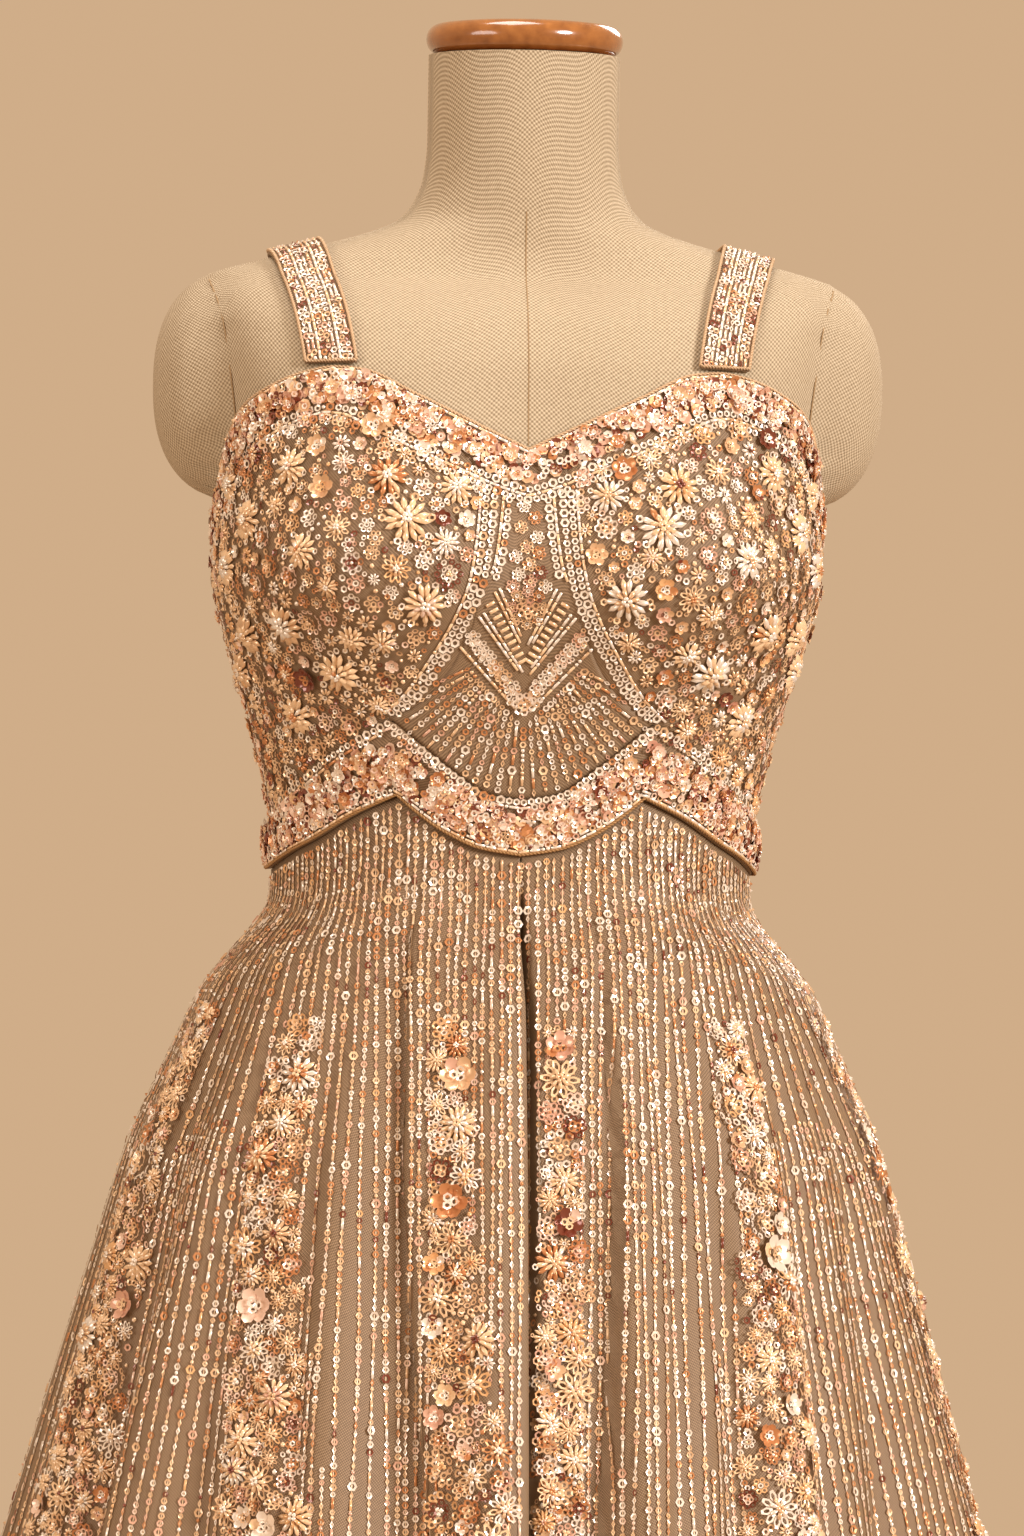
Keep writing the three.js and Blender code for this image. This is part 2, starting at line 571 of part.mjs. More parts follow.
function addSkirt() {
  const down = [0, 0.065, 0.15, 0.23, 0.33, 0.44, 0.55, 0.66, 0.77, 0.885, 1];
  const heightAt = (degrees, v) => mix(bandFoot(Math.abs(degrees)) - 2 * SEAM, KURTI_HEM, v);
  const panel = (name, columns, from, to, tucked) => {
    const place = (u, v) => {
      const level = heightAt(mix(from(0), to(0), u), v);
      const degrees = mix(from(level), to(level), u);
      return [degrees, heightAt(degrees, v)];
    };
    const at = (out) => (u, v) => {
      const [degrees, z] = place(u, v);
      const angle = rad(degrees);
      const radius = skirtRadius(angle, z) - tucked(degrees, z);
      return polar(angle, radius - CLOTH * (1 - out) + out * flowerColumn(angle, z, radius), z);
    };
    add(name, wallGeometry({ across: steps(columns), down, outer: at(1), inner: at(0) }), "net");
  };
  const gap = (z) => THREE.MathUtils.radToDeg(SEAM / skirtRadius(rad(SIDE), z));
  const none = () => 0;
  panel("kurti_front_left", 18, (z) => -SIDE + gap(z), leftEdge, none);
  panel("kurti_front_right", 19, rightEdge, (z) => SIDE - gap(z), tuckedUnder);
  panel("kurti_back_left", 18, (z) => -180 + gap(z), (z) => -SIDE - gap(z), none);
  panel("kurti_back_right", 18, (z) => SIDE + gap(z), (z) => 180 - gap(z), none);
}

// The sharara: a waistband and two wide legs that part at the crotch seam.
const legSection = sections([
  { z: SHARARA_HEM, out: 368, front: 250, back: 258 },
  { z: 250, out: 325, front: 224, back: 232 },
  { z: 440, out: 280, front: 196, back: 203 },
  { z: 600, out: 243, front: 172, back: 178 },
  { z: CROTCH.bottom, out: 205, front: 150, back: 156 },
]);
const hipEase = curve([[CROTCH.bottom, 26], [CROTCH.top, 16], [830, 10], [900, 6], [WAISTBAND.bottom, 4.4]]);
const hipRadius = (angle, z) => formRadius(angle, Math.max(z, 830)) + hipEase(z);
const seamPlace = (z) => CROTCH.offset * (1 - ease(CROTCH.top, 900, z));
const LEG_FOLDS = { count: 9, height: 15, flat: 0.16 };

// A point on a leg's outer face. t goes from the inseam by the front, the outside and the back.
function legPoint(side, t, z) {
  const flat = 0.18; // share of the ring on each inner flat
  const seam = seamPlace(z) + side * SEAM;
  const hipAt = (turn) => {
    const angle = side * turn;
    return polar(angle, hipRadius(angle, z), z);
  };
  const start = Math.asin(Math.min(1, (side * seam) / hipRadius(0, z)));
  const along = (t - flat) / (1 - 2 * flat);
  let upper;
  if (t < flat) upper = new THREE.Vector3(seam, (hipAt(start).y * t) / flat, z);
  else if (t > 1 - flat) upper = new THREE.Vector3(seam, (hipAt(Math.PI - start).y * (1 - t)) / flat, z);
  else upper = hipAt(mix(start, Math.PI - start, along));
  const share = 1 - ease(CROTCH.bottom - 180, CROTCH.bottom, z);
  if (share === 0) return upper;
  const section = legSection(z);
  const inner = seam;
  const outside = side * section.out;
  const turn = 2 * Math.PI * t;
  const halfWidth = Math.abs(outside - inner) / 2;
  const oval = { halfWidth, front: section.front, back: section.back, power: 2.2 };
  const angle = side * (turn - Math.PI / 2);
  const fold = Math.sin(Math.PI * Math.min(1, Math.min(t, 1 - t) / LEG_FOLDS.flat) * 0.5) ** 2;
  const wave = LEG_FOLDS.height * fold * Math.cos(turn * LEG_FOLDS.count + 0.6 * Math.sin(3 * turn));
  const fullness = (CROTCH.bottom - z) / (CROTCH.bottom - SHARARA_HEM);
  const radius = ovalRadius(angle, oval) + wave * fullness;
  const lower = polar(angle, radius, z).add(new THREE.Vector3((inner + outside) / 2, 0, 0));
  return upper.lerp(lower, share);
}

function addSharara() {
  const levels = [957, 910, 860, 820, CROTCH.top, 762, 739, CROTCH.bottom, 670, 590, 480, 340, 185, SHARARA_HEM];
  const crotchRow = levels.indexOf(CROTCH.bottom);
  const opening = (z) => 0.18 * Math.max(0, Math.min(1, (z - CROTCH.bottom) / (CROTCH.top - CROTCH.bottom))) ** 0.4;
  for (const [side, name] of [[-1, "left"], [1, "right"]]) {
    const at = (wall) => (u, z) => {
      const start = opening(z);
      const t = mix(start, 1 - start, u);
      const here = legPoint(side, t, z);
      if (!wall) return here;
      const small = 0.004;
      const closed = start === 0;
      const before = legPoint(side, closed ? (t - small + 1) % 1 : Math.max(start, t - small), z);
      const after = legPoint(side, closed ? (t + small) % 1 : Math.min(1 - start, t + small), z);
      const along = after.sub(before).normalize();
      const inward = new THREE.Vector3(-along.y, along.x, 0).multiplyScalar(side * wall);
      return here.add(inward);
    };
    const geometry = wallGeometry({
      across: steps(36),
      down: levels,
      outer: at(0),
      inner: at(CLOTH),
      closedFrom: crotchRow,
    });
    add(`sharara_leg_${name}`, geometry, "satin");
  }
  const band = (out) => (u, z) => {
    const angle = 2 * Math.PI * u;
    return polar(angle, formRadius(angle, z) + WAISTBAND.air + out, z);
  };
  const geometry = wallGeometry({
    across: steps(36),
    down: [WAISTBAND.top, 975, WAISTBAND.bottom + 2 * SEAM],
    outer: band(WAISTBAND.wall),
    inner: band(0),
    closedFrom: 0,
  });
  add("sharara_waistband", geometry, "satin");
}

addForm();
addStand();
addBodice();
addBand();
addStrap(-1, "left");
addStrap(1, "right");
addSkirt();
addSharara();

export default group;
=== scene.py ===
import math

import bpy
import numpy as np
from mathutils import Matrix


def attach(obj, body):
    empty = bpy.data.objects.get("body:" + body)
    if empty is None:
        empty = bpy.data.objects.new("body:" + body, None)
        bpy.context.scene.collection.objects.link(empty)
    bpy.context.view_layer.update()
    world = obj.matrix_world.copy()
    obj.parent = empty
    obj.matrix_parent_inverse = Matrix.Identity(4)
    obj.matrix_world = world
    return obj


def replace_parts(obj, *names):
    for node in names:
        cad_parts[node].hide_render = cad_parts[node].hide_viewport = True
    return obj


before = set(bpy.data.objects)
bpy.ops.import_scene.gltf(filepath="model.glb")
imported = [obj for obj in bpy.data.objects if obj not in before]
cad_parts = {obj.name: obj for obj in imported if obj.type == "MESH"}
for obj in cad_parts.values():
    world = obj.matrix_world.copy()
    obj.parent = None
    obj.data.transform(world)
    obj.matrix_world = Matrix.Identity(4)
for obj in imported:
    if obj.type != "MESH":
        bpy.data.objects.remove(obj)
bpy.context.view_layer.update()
random = np.random.default_rng(11)
MM = 0.001

# The camera stands at chest height, a little to the left, and looks slightly down.
CAMERA = {"distance": 3.0, "height": 1.23, "azimuth": -3.0, "tilt": 2.9, "roll": 1.0, "lens": 130}


def unit(v):
    return v / np.linalg.norm(v, axis=-1, keepdims=True)


def place_object(name, data, place, forward, roll=0.0):
    """Adds a camera or a lamp that looks along forward."""
    forward = unit(np.array(forward, float))
    right = unit(np.cross(forward, (0, 0, 1)))
    up = np.cross(right, forward)
    c, s = math.cos(roll), math.sin(roll)
    columns = np.column_stack([right * c + up * s, up * c - right * s, -forward])
    item = bpy.data.objects.new(name, data)
    bpy.context.collection.objects.link(item)
    item.matrix_world = Matrix.Translation(place) @ Matrix(columns.tolist()).to_4x4()
    return item


def add_camera():
    a, tilt, roll = (math.radians(CAMERA[k]) for k in ("azimuth", "tilt", "roll"))
    forward = (-math.sin(a) * math.cos(tilt), math.cos(a) * math.cos(tilt), -math.sin(tilt))
    place = (CAMERA["distance"] * math.sin(a), -CAMERA["distance"] * math.cos(a), CAMERA["height"])
    data = bpy.data.cameras.new("camera")
    data.lens = CAMERA["lens"]
    bpy.context.scene.camera = place_object("camera", data, place, forward, roll)


add_camera()

# Sizes shared with the solids. SEAM is half the gap between two pieces.
CLOTH = 2.2
UNDER_CLOTH = 1.2
SEAM = 0.2
KURTI_HEM = 440
SHARARA_HEM = 34
SHARARA_TOP, WAISTBAND_TOP = 957, 992
CROTCH_TOP, CROTCH_BOTTOM, CROTCH_OFFSET = 790, 725, 22
NECK_TOP = 1461
FORM_BOTTOM = 800
POLE_RADIUS = 14
BAND_PEAK = 35
SLIT_TOP = 1037
SIDE = 90
SIDES = ((-1, "left"), (1, "right"))


def ease(low, high, value):
    t = np.clip((value - low) / (high - low), 0, 1)
    return t * t * (3 - 2 * t)


def mix(a, b, t):
    return a + (b - a) * t


def arrays(*values):
    """The values as arrays of floats of one shape."""
    return np.broadcast_arrays(*(np.asarray(value, float) for value in values))


def always(value):
    """A function that gives the same value for every place in its array."""
    return lambda places: value + 0 * places


def curve(points):
    """A monotone cubic curve through (place, value) points, held level outside them."""
    x, y = np.array(points, float).T
    slope = np.diff(y) / np.diff(x)
    product = slope[:-1] * slope[1:]
    total = slope[:-1] + slope[1:]
    inner = np.where(product > 0, 2 * product / np.where(product > 0, total, 1), 0)
    tangent = np.concatenate([slope[:1], inner, slope[-1:]])

    def at(place):
        place = np.clip(place, x[0], x[-1])
        i = np.clip(np.searchsorted(x, place, side="right") - 1, 0, len(x) - 2)
        width = x[i + 1] - x[i]
        t = (place - x[i]) / width
        u = 1 - t
        return (
            y[i] * (1 + 2 * t) * u * u
            + tangent[i] * width * t * u * u
            + y[i + 1] * t * t * (3 - 2 * t)
            - tangent[i + 1] * width * t * t * u
        )

    return at


OVAL = ("half_width", "front", "back", "power")


def sections(names, rows):
    """One curve over z for each named column, from rows that start with z."""
    return {name: curve([(r[0], r[i + 1]) for r in rows]) for i, name in enumerate(names)}


def oval_radius(angle, half_width, front, back, power):
    """The radius of a rounded oval, wide from side to side and with its own depth in front and behind."""
    depth = np.where(np.cos(angle) > 0, front, back)
    across = np.abs(np.sin(angle)) / half_width
    along = np.abs(np.cos(angle)) / depth
    return (across**power + along**power) ** (-1 / power)


def section_radius(table, angle, z):
    return oval_radius(angle, *(table[name](z) for name in OVAL))


def halved(low, high, inside, times):
    """How far what is inside reaches from low towards high, by halving."""
    for _ in range(times):
        middle = (low + high) / 2
        hit = inside(middle)
        low, high = np.where(hit, middle, low), np.where(hit, high, middle)
    return low


def degrees_of(angle):
    return np.degrees(np.arctan2(np.sin(angle), np.cos(angle)))


def turned(origin, degrees):
    """The shortest way round from origin to degrees."""
    return degrees - origin - 360 * np.round((degrees - origin) / 360)


def polar(angle, radius, z):
    return np.stack(np.broadcast_arrays(radius * np.sin(angle), -radius * np.cos(angle), z), -1)


FORM = sections(
    OVAL,
    [
        (800, 173, 118, 124, 2.3), (830, 176, 119, 127, 2.3), (880, 169, 113, 122, 2.3),
        (930, 153, 104, 110, 2.2), (975, 135, 96, 98, 2.2), (1012, 126, 92, 90, 2.2),
        (1050, 127, 95, 92, 2.2), (1090, 135, 100, 98, 2.2), (1135, 148, 104, 104, 2.3),
        (1180, 158, 105, 106, 2.4), (1220, 158.5, 103, 106, 2.5), (1255, 158.5, 101, 104, 2.8),
        (1290, 162, 97, 100, 3), (1315, 167, 86, 94, 2.9), (1331, 170, 70, 82, 2.7),
        (1341, 168, 56, 68, 2.5), (1347, 150, 53, 62, 2.4), (1353, 127, 51, 60, 2.3),
        (1360, 101, 50, 58, 2.2), (1367, 78, 50, 57, 2.1), (1373, 66, 50, 55, 2),
        (1382, 58.5, 50.5, 53, 2), (1395, 53.5, 51, 52, 2), (1415, 51.5, 51.5, 51.5, 2),
        (NECK_TOP, 51.5, 51.5, 51.5, 2),
    ],
)  # fmt: skip
BUST = {"degrees": 34.5, "z": 1185, "height": 36, "spread": 19.5, "above": 50, "below": 36}


def form_radius(angle, z):
    angle, z = arrays(angle, z)
    degrees = degrees_of(angle)
    fall = (z - BUST["z"]) / np.where(z > BUST["z"], BUST["above"], BUST["below"])
    cups = sum(
        np.exp(-0.5 * ((degrees - side * BUST["degrees"]) / BUST["spread"]) ** 2) for side in (-1, 1)
    )
    return section_radius(FORM, angle, z) + BUST["height"] * np.exp(-0.5 * fall**2) * cups


NECK_EDGE = curve(
    [
        (0, 1250), (14, 1263), (29, 1278), (42, 1290.5), (47, 1291.5), (52, 1289), (62, 1277), (68, 1266),
        (73, 1250), (77, 1235), (82, 1222), (86, 1217), (90, 1215), (105, 1213), (150, 1212), (180, 1210),
    ]
)  # fmt: skip
BAND_RAISED, BAND_PUFF = 1.2, 1.2
# The bodice bridges the hollow between the cups: how far at most, where, and its reach.
BRIDGE = {"depth": 5, "degrees": 14, "z": 1180, "reach": 45}


def neck_edge(degrees):
    return NECK_EDGE(np.abs(degrees))


def scalloped(front, side):
    """An edge round the body, with a sharp peak between its front scallop and the rest."""
    front, side = curve(front), curve(side)

    def at(degrees):
        d = np.abs(degrees)
        return np.where(d < BAND_PEAK, front(d), side(d))

    return at


band_top = scalloped(
    [(0, 1066.5), (10, 1069.5), (21, 1083), (30, 1098), (BAND_PEAK, 1107.5)],
    [(BAND_PEAK, 1107.5), (48, 1093), (63, 1073), (88, 1048), (120, 1046), (180, 1045)],
)
band_foot = scalloped(
    [(0, SLIT_TOP), (12, 1040.5), (23, 1049.5), (30, 1059), (BAND_PEAK, 1067.5)],
    [(BAND_PEAK, 1067.5), (47, 1056.5), (63, 1039), (88, 1022), (120, 1019), (180, 1018)],
)


def bodice_radius(angle, z):
    across = np.exp(-((degrees_of(angle) / BRIDGE["degrees"]) ** 2))
    up = np.exp(-(((z - BRIDGE["z"]) / BRIDGE["reach"]) ** 2))
    return form_radius(angle, z) + UNDER_CLOTH + CLOTH + BRIDGE["depth"] * across * up


def band_radius(angle, z):
    """The band's outer face, which is puffed a little along its middle."""
    degrees = degrees_of(angle)
    v = np.clip((band_top(degrees) - z) / (band_top(degrees) - band_foot(degrees)), 0, 1)
    return bodice_radius(angle, z) + BAND_RAISED + BAND_PUFF * np.sin(np.pi * v)


SKIRT = sections(
    OVAL,
    [
        (440, 321, 262, 268, 2.05), (600, 280, 229, 235, 2.05), (681, 257, 211, 214, 2.05),
        (746, 239, 197, 197, 2.05), (811, 220.5, 180, 178, 2.05), (876, 201.5, 161, 156, 2.1),
        (908, 187.5, 149, 143, 2.1), (941, 173, 136, 128, 2.1), (973, 157.5, 123, 114, 2.15),
        (989, 147, 117, 107, 2.2), (1005, 133, 110, 100, 2.2), (1020, 129, 105, 95, 2.2),
        (1075, 131, 104, 97, 2.2),
    ],
)  # fmt: skip
# Each fold's ridge: degrees, height, and its reach in degrees to the left and right.
SKIRT_FOLDS = [
    (-160, 1.0, 9, 8), (-137, 0.8, 9, 9), (-115, 1.0, 8, 9), (-93, 0.9, 8, 7),
    (-76, 0.7, 8, 7), (-57, 1.2, 4, 11), (-31, 0.9, 8, 9), (-4, 1.1, 7, 8),
    (18, 1.2, 4, 10), (38, 0.8, 8, 9), (72, 1.1, 10, 7), (88, 0.6, 6, 7),
    (105, 0.9, 8, 8), (125, 1.0, 9, 8), (146, 0.8, 8, 9), (168, 1.0, 8, 9),
]  # fmt: skip
FOLD_HEIGHT, FOLD_LEVEL, CREASE_SHARE = 24, 0.5, 0.8
# Small creases between the folds: degrees at the top and low down, depth, and reach in degrees.
SKIRT_CREASES = [
    (-172, -172, 5, 2.5), (-148, -148, 6, 3), (-126, -126, 5, 2.5), (-104, -104, 6, 3),
    (-84, -84, 5, 2.5), (-66, -64, 14, 2.5), (-52, -47, 15, 3), (-40, -31.5, 11, 2.5),
    (-31.5, -19, 25, 4.5), (-9, -7, 4, 1.5), (7, 6, 3, 2), (29, 22, 9, 2), (36, 31.5, 15, 2.5),
    (54, 46, 14, 2.5), (66, 57, 13, 2.5), (81, 81, 7, 2.5), (96, 96, 5, 2.5), (115, 115, 6, 3),
    (135, 135, 5, 2.5), (157, 157, 6, 3),
]  # fmt: skip
# Lapped pleats: degrees of the edge at the top and low down, the side it drops to, depth and width.
SKIRT_PLEATS = [(-25.2, -12.7, -1, 13, 12), (20.7, 13.1, -1, 12, 20)]
PLEAT_START, PLEAT_FULL, PLEAT_STEP = 15, 150, 3
# How far below the band the folds start, and how far the skirt still follows the bodice's form.
FOLD_START, SKIRT_BLEND = 15, 70
# The heights that the words top and low down stand for above.
GUIDE_TOP, GUIDE_LOW = 952, 700


def guide(top, low, z, least=-0.2, most=1.4):
    """Degrees of a line down the skirt, straight between its two given places and a little beyond."""
    return mix(top, low, np.clip((GUIDE_TOP - z) / (GUIDE_TOP - GUIDE_LOW), least, most))


def skirt_radius(angle, z):
    degrees = degrees_of(angle)
    drop = band_foot(degrees) - z
    ridges = 0
    for place, height, left, right in SKIRT_FOLDS:
        off = turned(place, degrees)
        ridges = ridges + height * np.exp(-((off / np.where(off < 0, left, right)) ** 2))
    dips = 0
    for top, low, depth, reach in SKIRT_CREASES:
        dips = dips + depth * np.exp(-((turned(guide(top, low, z), degrees) / reach) ** 2))
    fullness = np.maximum(0, drop - FOLD_START) / (SLIT_TOP - KURTI_HEM - FOLD_START)
    body = mix(bodice_radius(angle, z), section_radius(SKIRT, angle, z), ease(0, SKIRT_BLEND, drop))
    for top, low, side, depth, width in SKIRT_PLEATS:
        past = side * np.radians(turned(guide(top, low, z), degrees)) * body
        depth = depth * ease(PLEAT_START, PLEAT_FULL, drop) * ease(0, PLEAT_STEP, past)
        body = body - depth * np.exp(-np.maximum(past, 0) / width)
    return body + FOLD_HEIGHT * fullness * (ridges - FOLD_LEVEL) - CREASE_SHARE * fullness * dips


# Each front panel's edge at the slit: degrees at its top, degrees it moves by, and the mm below the
# slit's top between which it moves.
LEFT_EDGE = (0, 1.2, 40, 90)
RIGHT_EDGE = (0.5, -4.5, 40, 110)
# How the right panel tucks in under the left: depth, the degrees past the left panel's edge between
# which it fades, and the mm below the slit's top between which it grows.
TUCKS = [(11, 0, 2.9, 5, 50), (4, 2, 12, 30, 90)]


def slit_edge(edge, z):
    start, move, high, low = edge
    return start + move * ease(high, low, SLIT_TOP - z)


def left_edge(z):
    return slit_edge(LEFT_EDGE, z)


def tucked_radius(angle, z):
    """The right front panel, which runs in under the left one at the slit."""
    past = degrees_of(angle) - left_edge(z)
    tuck = 0
    for depth, near, far, high, low in TUCKS:
        tuck = tuck + depth * (1 - ease(near, far, past)) * ease(high, low, SLIT_TOP - z)
    return skirt_radius(angle, z) - tuck


# Flower columns on the skirt: degrees at their top and low down, and share of the common width.
LEFT_OF_SLIT = (-16, -6.2, 0.76)
RIGHT_OF_SLIT = (9.4, 4.4, 0.72)
FLOWER_COLUMNS = [
    (-152, -146, 1), (-112, -109, 1), (-74, -70.5, 1), (-48, -36.5, 1), LEFT_OF_SLIT, RIGHT_OF_SLIT,
    (46, 38.5, 1), (74, 78, 1), (112, 112, 1), (150, 146, 1), (180, 180, 1),
]  # fmt: skip
COLUMN_HALF = (9, 22)


def column_half(column, z):
    return column[2] * mix(*COLUMN_HALF, ease(GUIDE_TOP, GUIDE_LOW, z))


def column_place(column, z):
    """A column's middle at height z, in degrees."""
    return guide(column[0], column[1], z, 0, 1)


def column_cover(degrees, z):
    """1 inside a flower column and 0 outside."""
    radius = section_radius(SKIRT, np.radians(degrees), z)
    cover = 0
    for column in FLOWER_COLUMNS:
        off = np.abs(np.radians(turned(column_place(column, z), degrees))) * radius
        half = column_half(column, z)
        cover = np.maximum(cover, 1 - ease(0.85 * half, 1.1 * half, off))
    return cover * ease(GUIDE_TOP, GUIDE_TOP - 12, z)


# The sharara's legs.
LEG = sections(
    ("out", "front", "back"),
    [
        (SHARARA_HEM, 368, 250, 258), (250, 325, 224, 232), (440, 280, 196, 203),
        (600, 243, 172, 178), (CROTCH_BOTTOM, 205, 150, 156),
    ],
)  # fmt: skip
HIP_LINE = 830
HIP_EASE = curve([(CROTCH_BOTTOM, 26), (CROTCH_TOP, 16), (HIP_LINE, 10), (900, 6), (SHARARA_TOP, 4.4)])
# Shares of the way round a leg: its flat inseam above the crotch, and the calm cloth beside it below.
INSEAM_FLAT, INSEAM_CALM = 0.18, 0.16
LEG_POWER = 2.2
LEG_BLEND = 180
# A leg's waves and creases: height at the hem, how many go round, and how unevenly: by how much in
# radians they are shifted, and how many times round the leg.
LEG_WAVES = [(15, 9, 0.6, 3), (3.5, 23, 2, 2)]


def hip_point(angle, z):
    return polar(angle, form_radius(angle, np.maximum(z, HIP_LINE)) + HIP_EASE(z), z)


def leg_point(side, t, z):
    """A leg's outer face. t goes from the inseam round by the front, the outside and the back."""
    seam = CROTCH_OFFSET * (1 - ease(CROTCH_TOP, 900, z)) + side * SEAM
    reach = form_radius(0, np.maximum(z, HIP_LINE)) + HIP_EASE(z)
    start = np.arcsin(np.clip(side * seam / reach, -1, 1))
    along = np.clip((t - INSEAM_FLAT) / (1 - 2 * INSEAM_FLAT), 0, 1)
    hip = hip_point(side * mix(start, np.pi - start, along), z)
    front = hip_point(side * start, z)[..., 1]
    back = hip_point(side * (np.pi - start), z)[..., 1]
    flat_y = np.where(t < 0.5, front * t / INSEAM_FLAT, back * (1 - t) / INSEAM_FLAT)
    on_flat = (t < INSEAM_FLAT) | (t > 1 - INSEAM_FLAT)
    upper = np.where(on_flat[..., None], np.stack(np.broadcast_arrays(seam, flat_y, z), -1), hip)
    share = 1 - ease(CROTCH_BOTTOM - LEG_BLEND, CROTCH_BOTTOM, z)
    turn = 2 * np.pi * t
    outside = side * LEG["out"](z)
    angle = side * (turn - np.pi / 2)
    fold = np.sin(np.pi / 2 * np.minimum(1, np.minimum(t, 1 - t) / INSEAM_CALM)) ** 2
    waves = 0
    for height, count, shift, times in LEG_WAVES:
        waves = waves + height * fold * np.cos(turn * count + shift * np.sin(times * turn))
    fullness = (CROTCH_BOTTOM - z) / (CROTCH_BOTTOM - SHARARA_HEM)
    half = np.abs(outside - seam) / 2
    oval = oval_radius(angle, half, LEG["front"](z), LEG["back"](z), LEG_POWER)
    lower = polar(angle, oval + waves * fullness, z)
    lower[..., 0] += (seam + outside) / 2
    return mix(upper, lower, share[..., None])


# Materials.
def new_material(name, base, roughness, metallic=0.0, **sockets):
    material = bpy.data.materials.new(name)
    material.use_nodes = True
    shader = material.node_tree.nodes["Principled BSDF"]
    shader.inputs["Base Color"].default_value = (*base, 1)
    shader.inputs["Roughness"].default_value = roughness
    shader.inputs["Metallic"].default_value = metallic
    for socket, value in sockets.items():
        shader.inputs[socket.replace("_", " ")].default_value = value
    return material


def math_node(tree, operation, *values):
    node = tree.nodes.new("ShaderNodeMath")
    node.operation = operation
    for socket, value in zip(node.inputs, values):
        if isinstance(value, (int, float)):
            socket.default_value = value
        else:
            tree.links.new(value, socket)
    return node.outputs[0]


def mixed_colour(tree, factor, a, b):
    node = tree.nodes.new("ShaderNodeMix")
    node.data_type = "RGBA"
    tree.links.new(factor, node.inputs["Factor"])
    for name, value in (("A", a), ("B", b)):
        socket = next(s for s in node.inputs if s.name == name and s.type == "RGBA")
        socket.default_value = (*value, 1)
    return next(s for s in node.outputs if s.type == "RGBA")


def noise_node(tree, vector, scale, detail):
    noise = tree.nodes.new("ShaderNodeTexNoise")
    noise.inputs["Scale"].default_value = scale
    noise.inputs["Detail"].default_value = detail
    tree.links.new(vector, noise.inputs["Vector"])
    return noise.outputs["Fac"]


SLUB, SLUB_SCALE = 0.35, 0.35
THREAD_LIFT = 0.0003  # Metres.


def woven(name, light, dark, thread_mm, roughness, bump, **sockets):
    """Cloth whose threads cross at a small pitch, with uneven slubs. Its UV map is in millimetres."""
    material = new_material(name, light, roughness, **sockets)
    tree = material.node_tree
    shader = tree.nodes["Principled BSDF"]
    uv = tree.nodes.new("ShaderNodeUVMap")
    uv.uv_map = "UVMap"
    split = tree.nodes.new("ShaderNodeSeparateXYZ")
    tree.links.new(uv.outputs[0], split.inputs[0])
    waves = [
        math_node(tree, "SINE", math_node(tree, "MULTIPLY", split.outputs[i], 2 * math.pi / thread_mm))
        for i in (0, 1)
    ]
    level = math_node(tree, "MULTIPLY_ADD", math_node(tree, "MULTIPLY", *waves), 0.5, 0.5 - SLUB / 2)
    shaded = math_node(tree, "MULTIPLY_ADD", noise_node(tree, uv.outputs[0], SLUB_SCALE, 4), SLUB, level)
    tree.links.new(mixed_colour(tree, shaded, dark, light), shader.inputs["Base Color"])
    lift = tree.nodes.new("ShaderNodeBump")
    lift.inputs["Strength"].default_value = bump
    lift.inputs["Distance"].default_value = THREAD_LIFT
    tree.links.new(shaded, lift.inputs["Height"])
    tree.links.new(lift.outputs[0], shader.inputs["Normal"])
    return material


def varnished_wood():
    material = new_material("varnished_wood", (0.3, 0.1, 0.02), 0.18, Coat_Weight=0.7, Coat_Roughness=0.08)
    tree = material.node_tree
    place = tree.nodes.new("ShaderNodeTexCoord")
    scale = tree.nodes.new("ShaderNodeMapping")
    scale.inputs["Scale"].default_value = (60, 9, 60)
    tree.links.new(place.outputs["Object"], scale.inputs["Vector"])
    grain = noise_node(tree, scale.outputs[0], 2.5, 6)
    colour = mixed_colour(tree, grain, (0.14, 0.035, 0.008), (0.50, 0.19, 0.045))
    tree.links.new(colour, tree.nodes["Principled BSDF"].inputs["Base Color"])
    return material


# The sequins' and beads' colours, in this order wherever shares of colours are listed: name, colour,
# roughness, metallic and coat.
BEAD_COLOURS = [
    new_material(*look, Coat_Weight=coat)
    for *look, coat in (
        ("sequin_silver", (0.98, 0.85, 0.72), 0.28, 0.35, 0.6),
        ("sequin_champagne", (0.84, 0.54, 0.31), 0.28, 0.35, 0.6),
        ("sequin_rose", (0.80, 0.46, 0.32), 0.3, 0.3, 0.5),
        ("sequin_copper", (0.66, 0.28, 0.11), 0.3, 0.4, 0.4),
        ("sequin_blush", (0.93, 0.66, 0.51), 0.3, 0.2, 0.7),
        ("sequin_wine", (0.22, 0.05, 0.025), 0.2, 0.3, 0.7),
        ("bead_pearl", (0.94, 0.64, 0.38), 0.2, 0.1, 0.9),
        ("bead_amber", (0.85, 0.48, 0.22), 0.25, 0.15, 0.6),
    )
]
NET = woven("beaded_net", (0.37, 0.235, 0.13), (0.11, 0.062, 0.028), 1.6, 0.6, 0.5)
LINEN = woven("linen_cover", (0.68, 0.55, 0.385), (0.24, 0.17, 0.095), 2.5, 0.9, 1.0)
SATIN = woven("satin", (0.50, 0.335, 0.215), (0.43, 0.28, 0.175), 0.8, 0.36, 0.15, Sheen_Weight=0.3)
CORD = new_material("gold_cord", (0.42, 0.23, 0.09), 0.5, 0.35)
PALE_CORD = new_material("pale_cord", (0.62, 0.42, 0.25), 0.5, 0.3)
PALE_THREAD = new_material("pale_thread", (0.80, 0.57, 0.36), 0.45, 0.1)
THREAD = new_material("seam_thread", (0.38, 0.25, 0.13), 0.9)
WOOD = varnished_wood()
STEEL = new_material("stand_metal", (0.035, 0.03, 0.028), 0.38, 0.5)


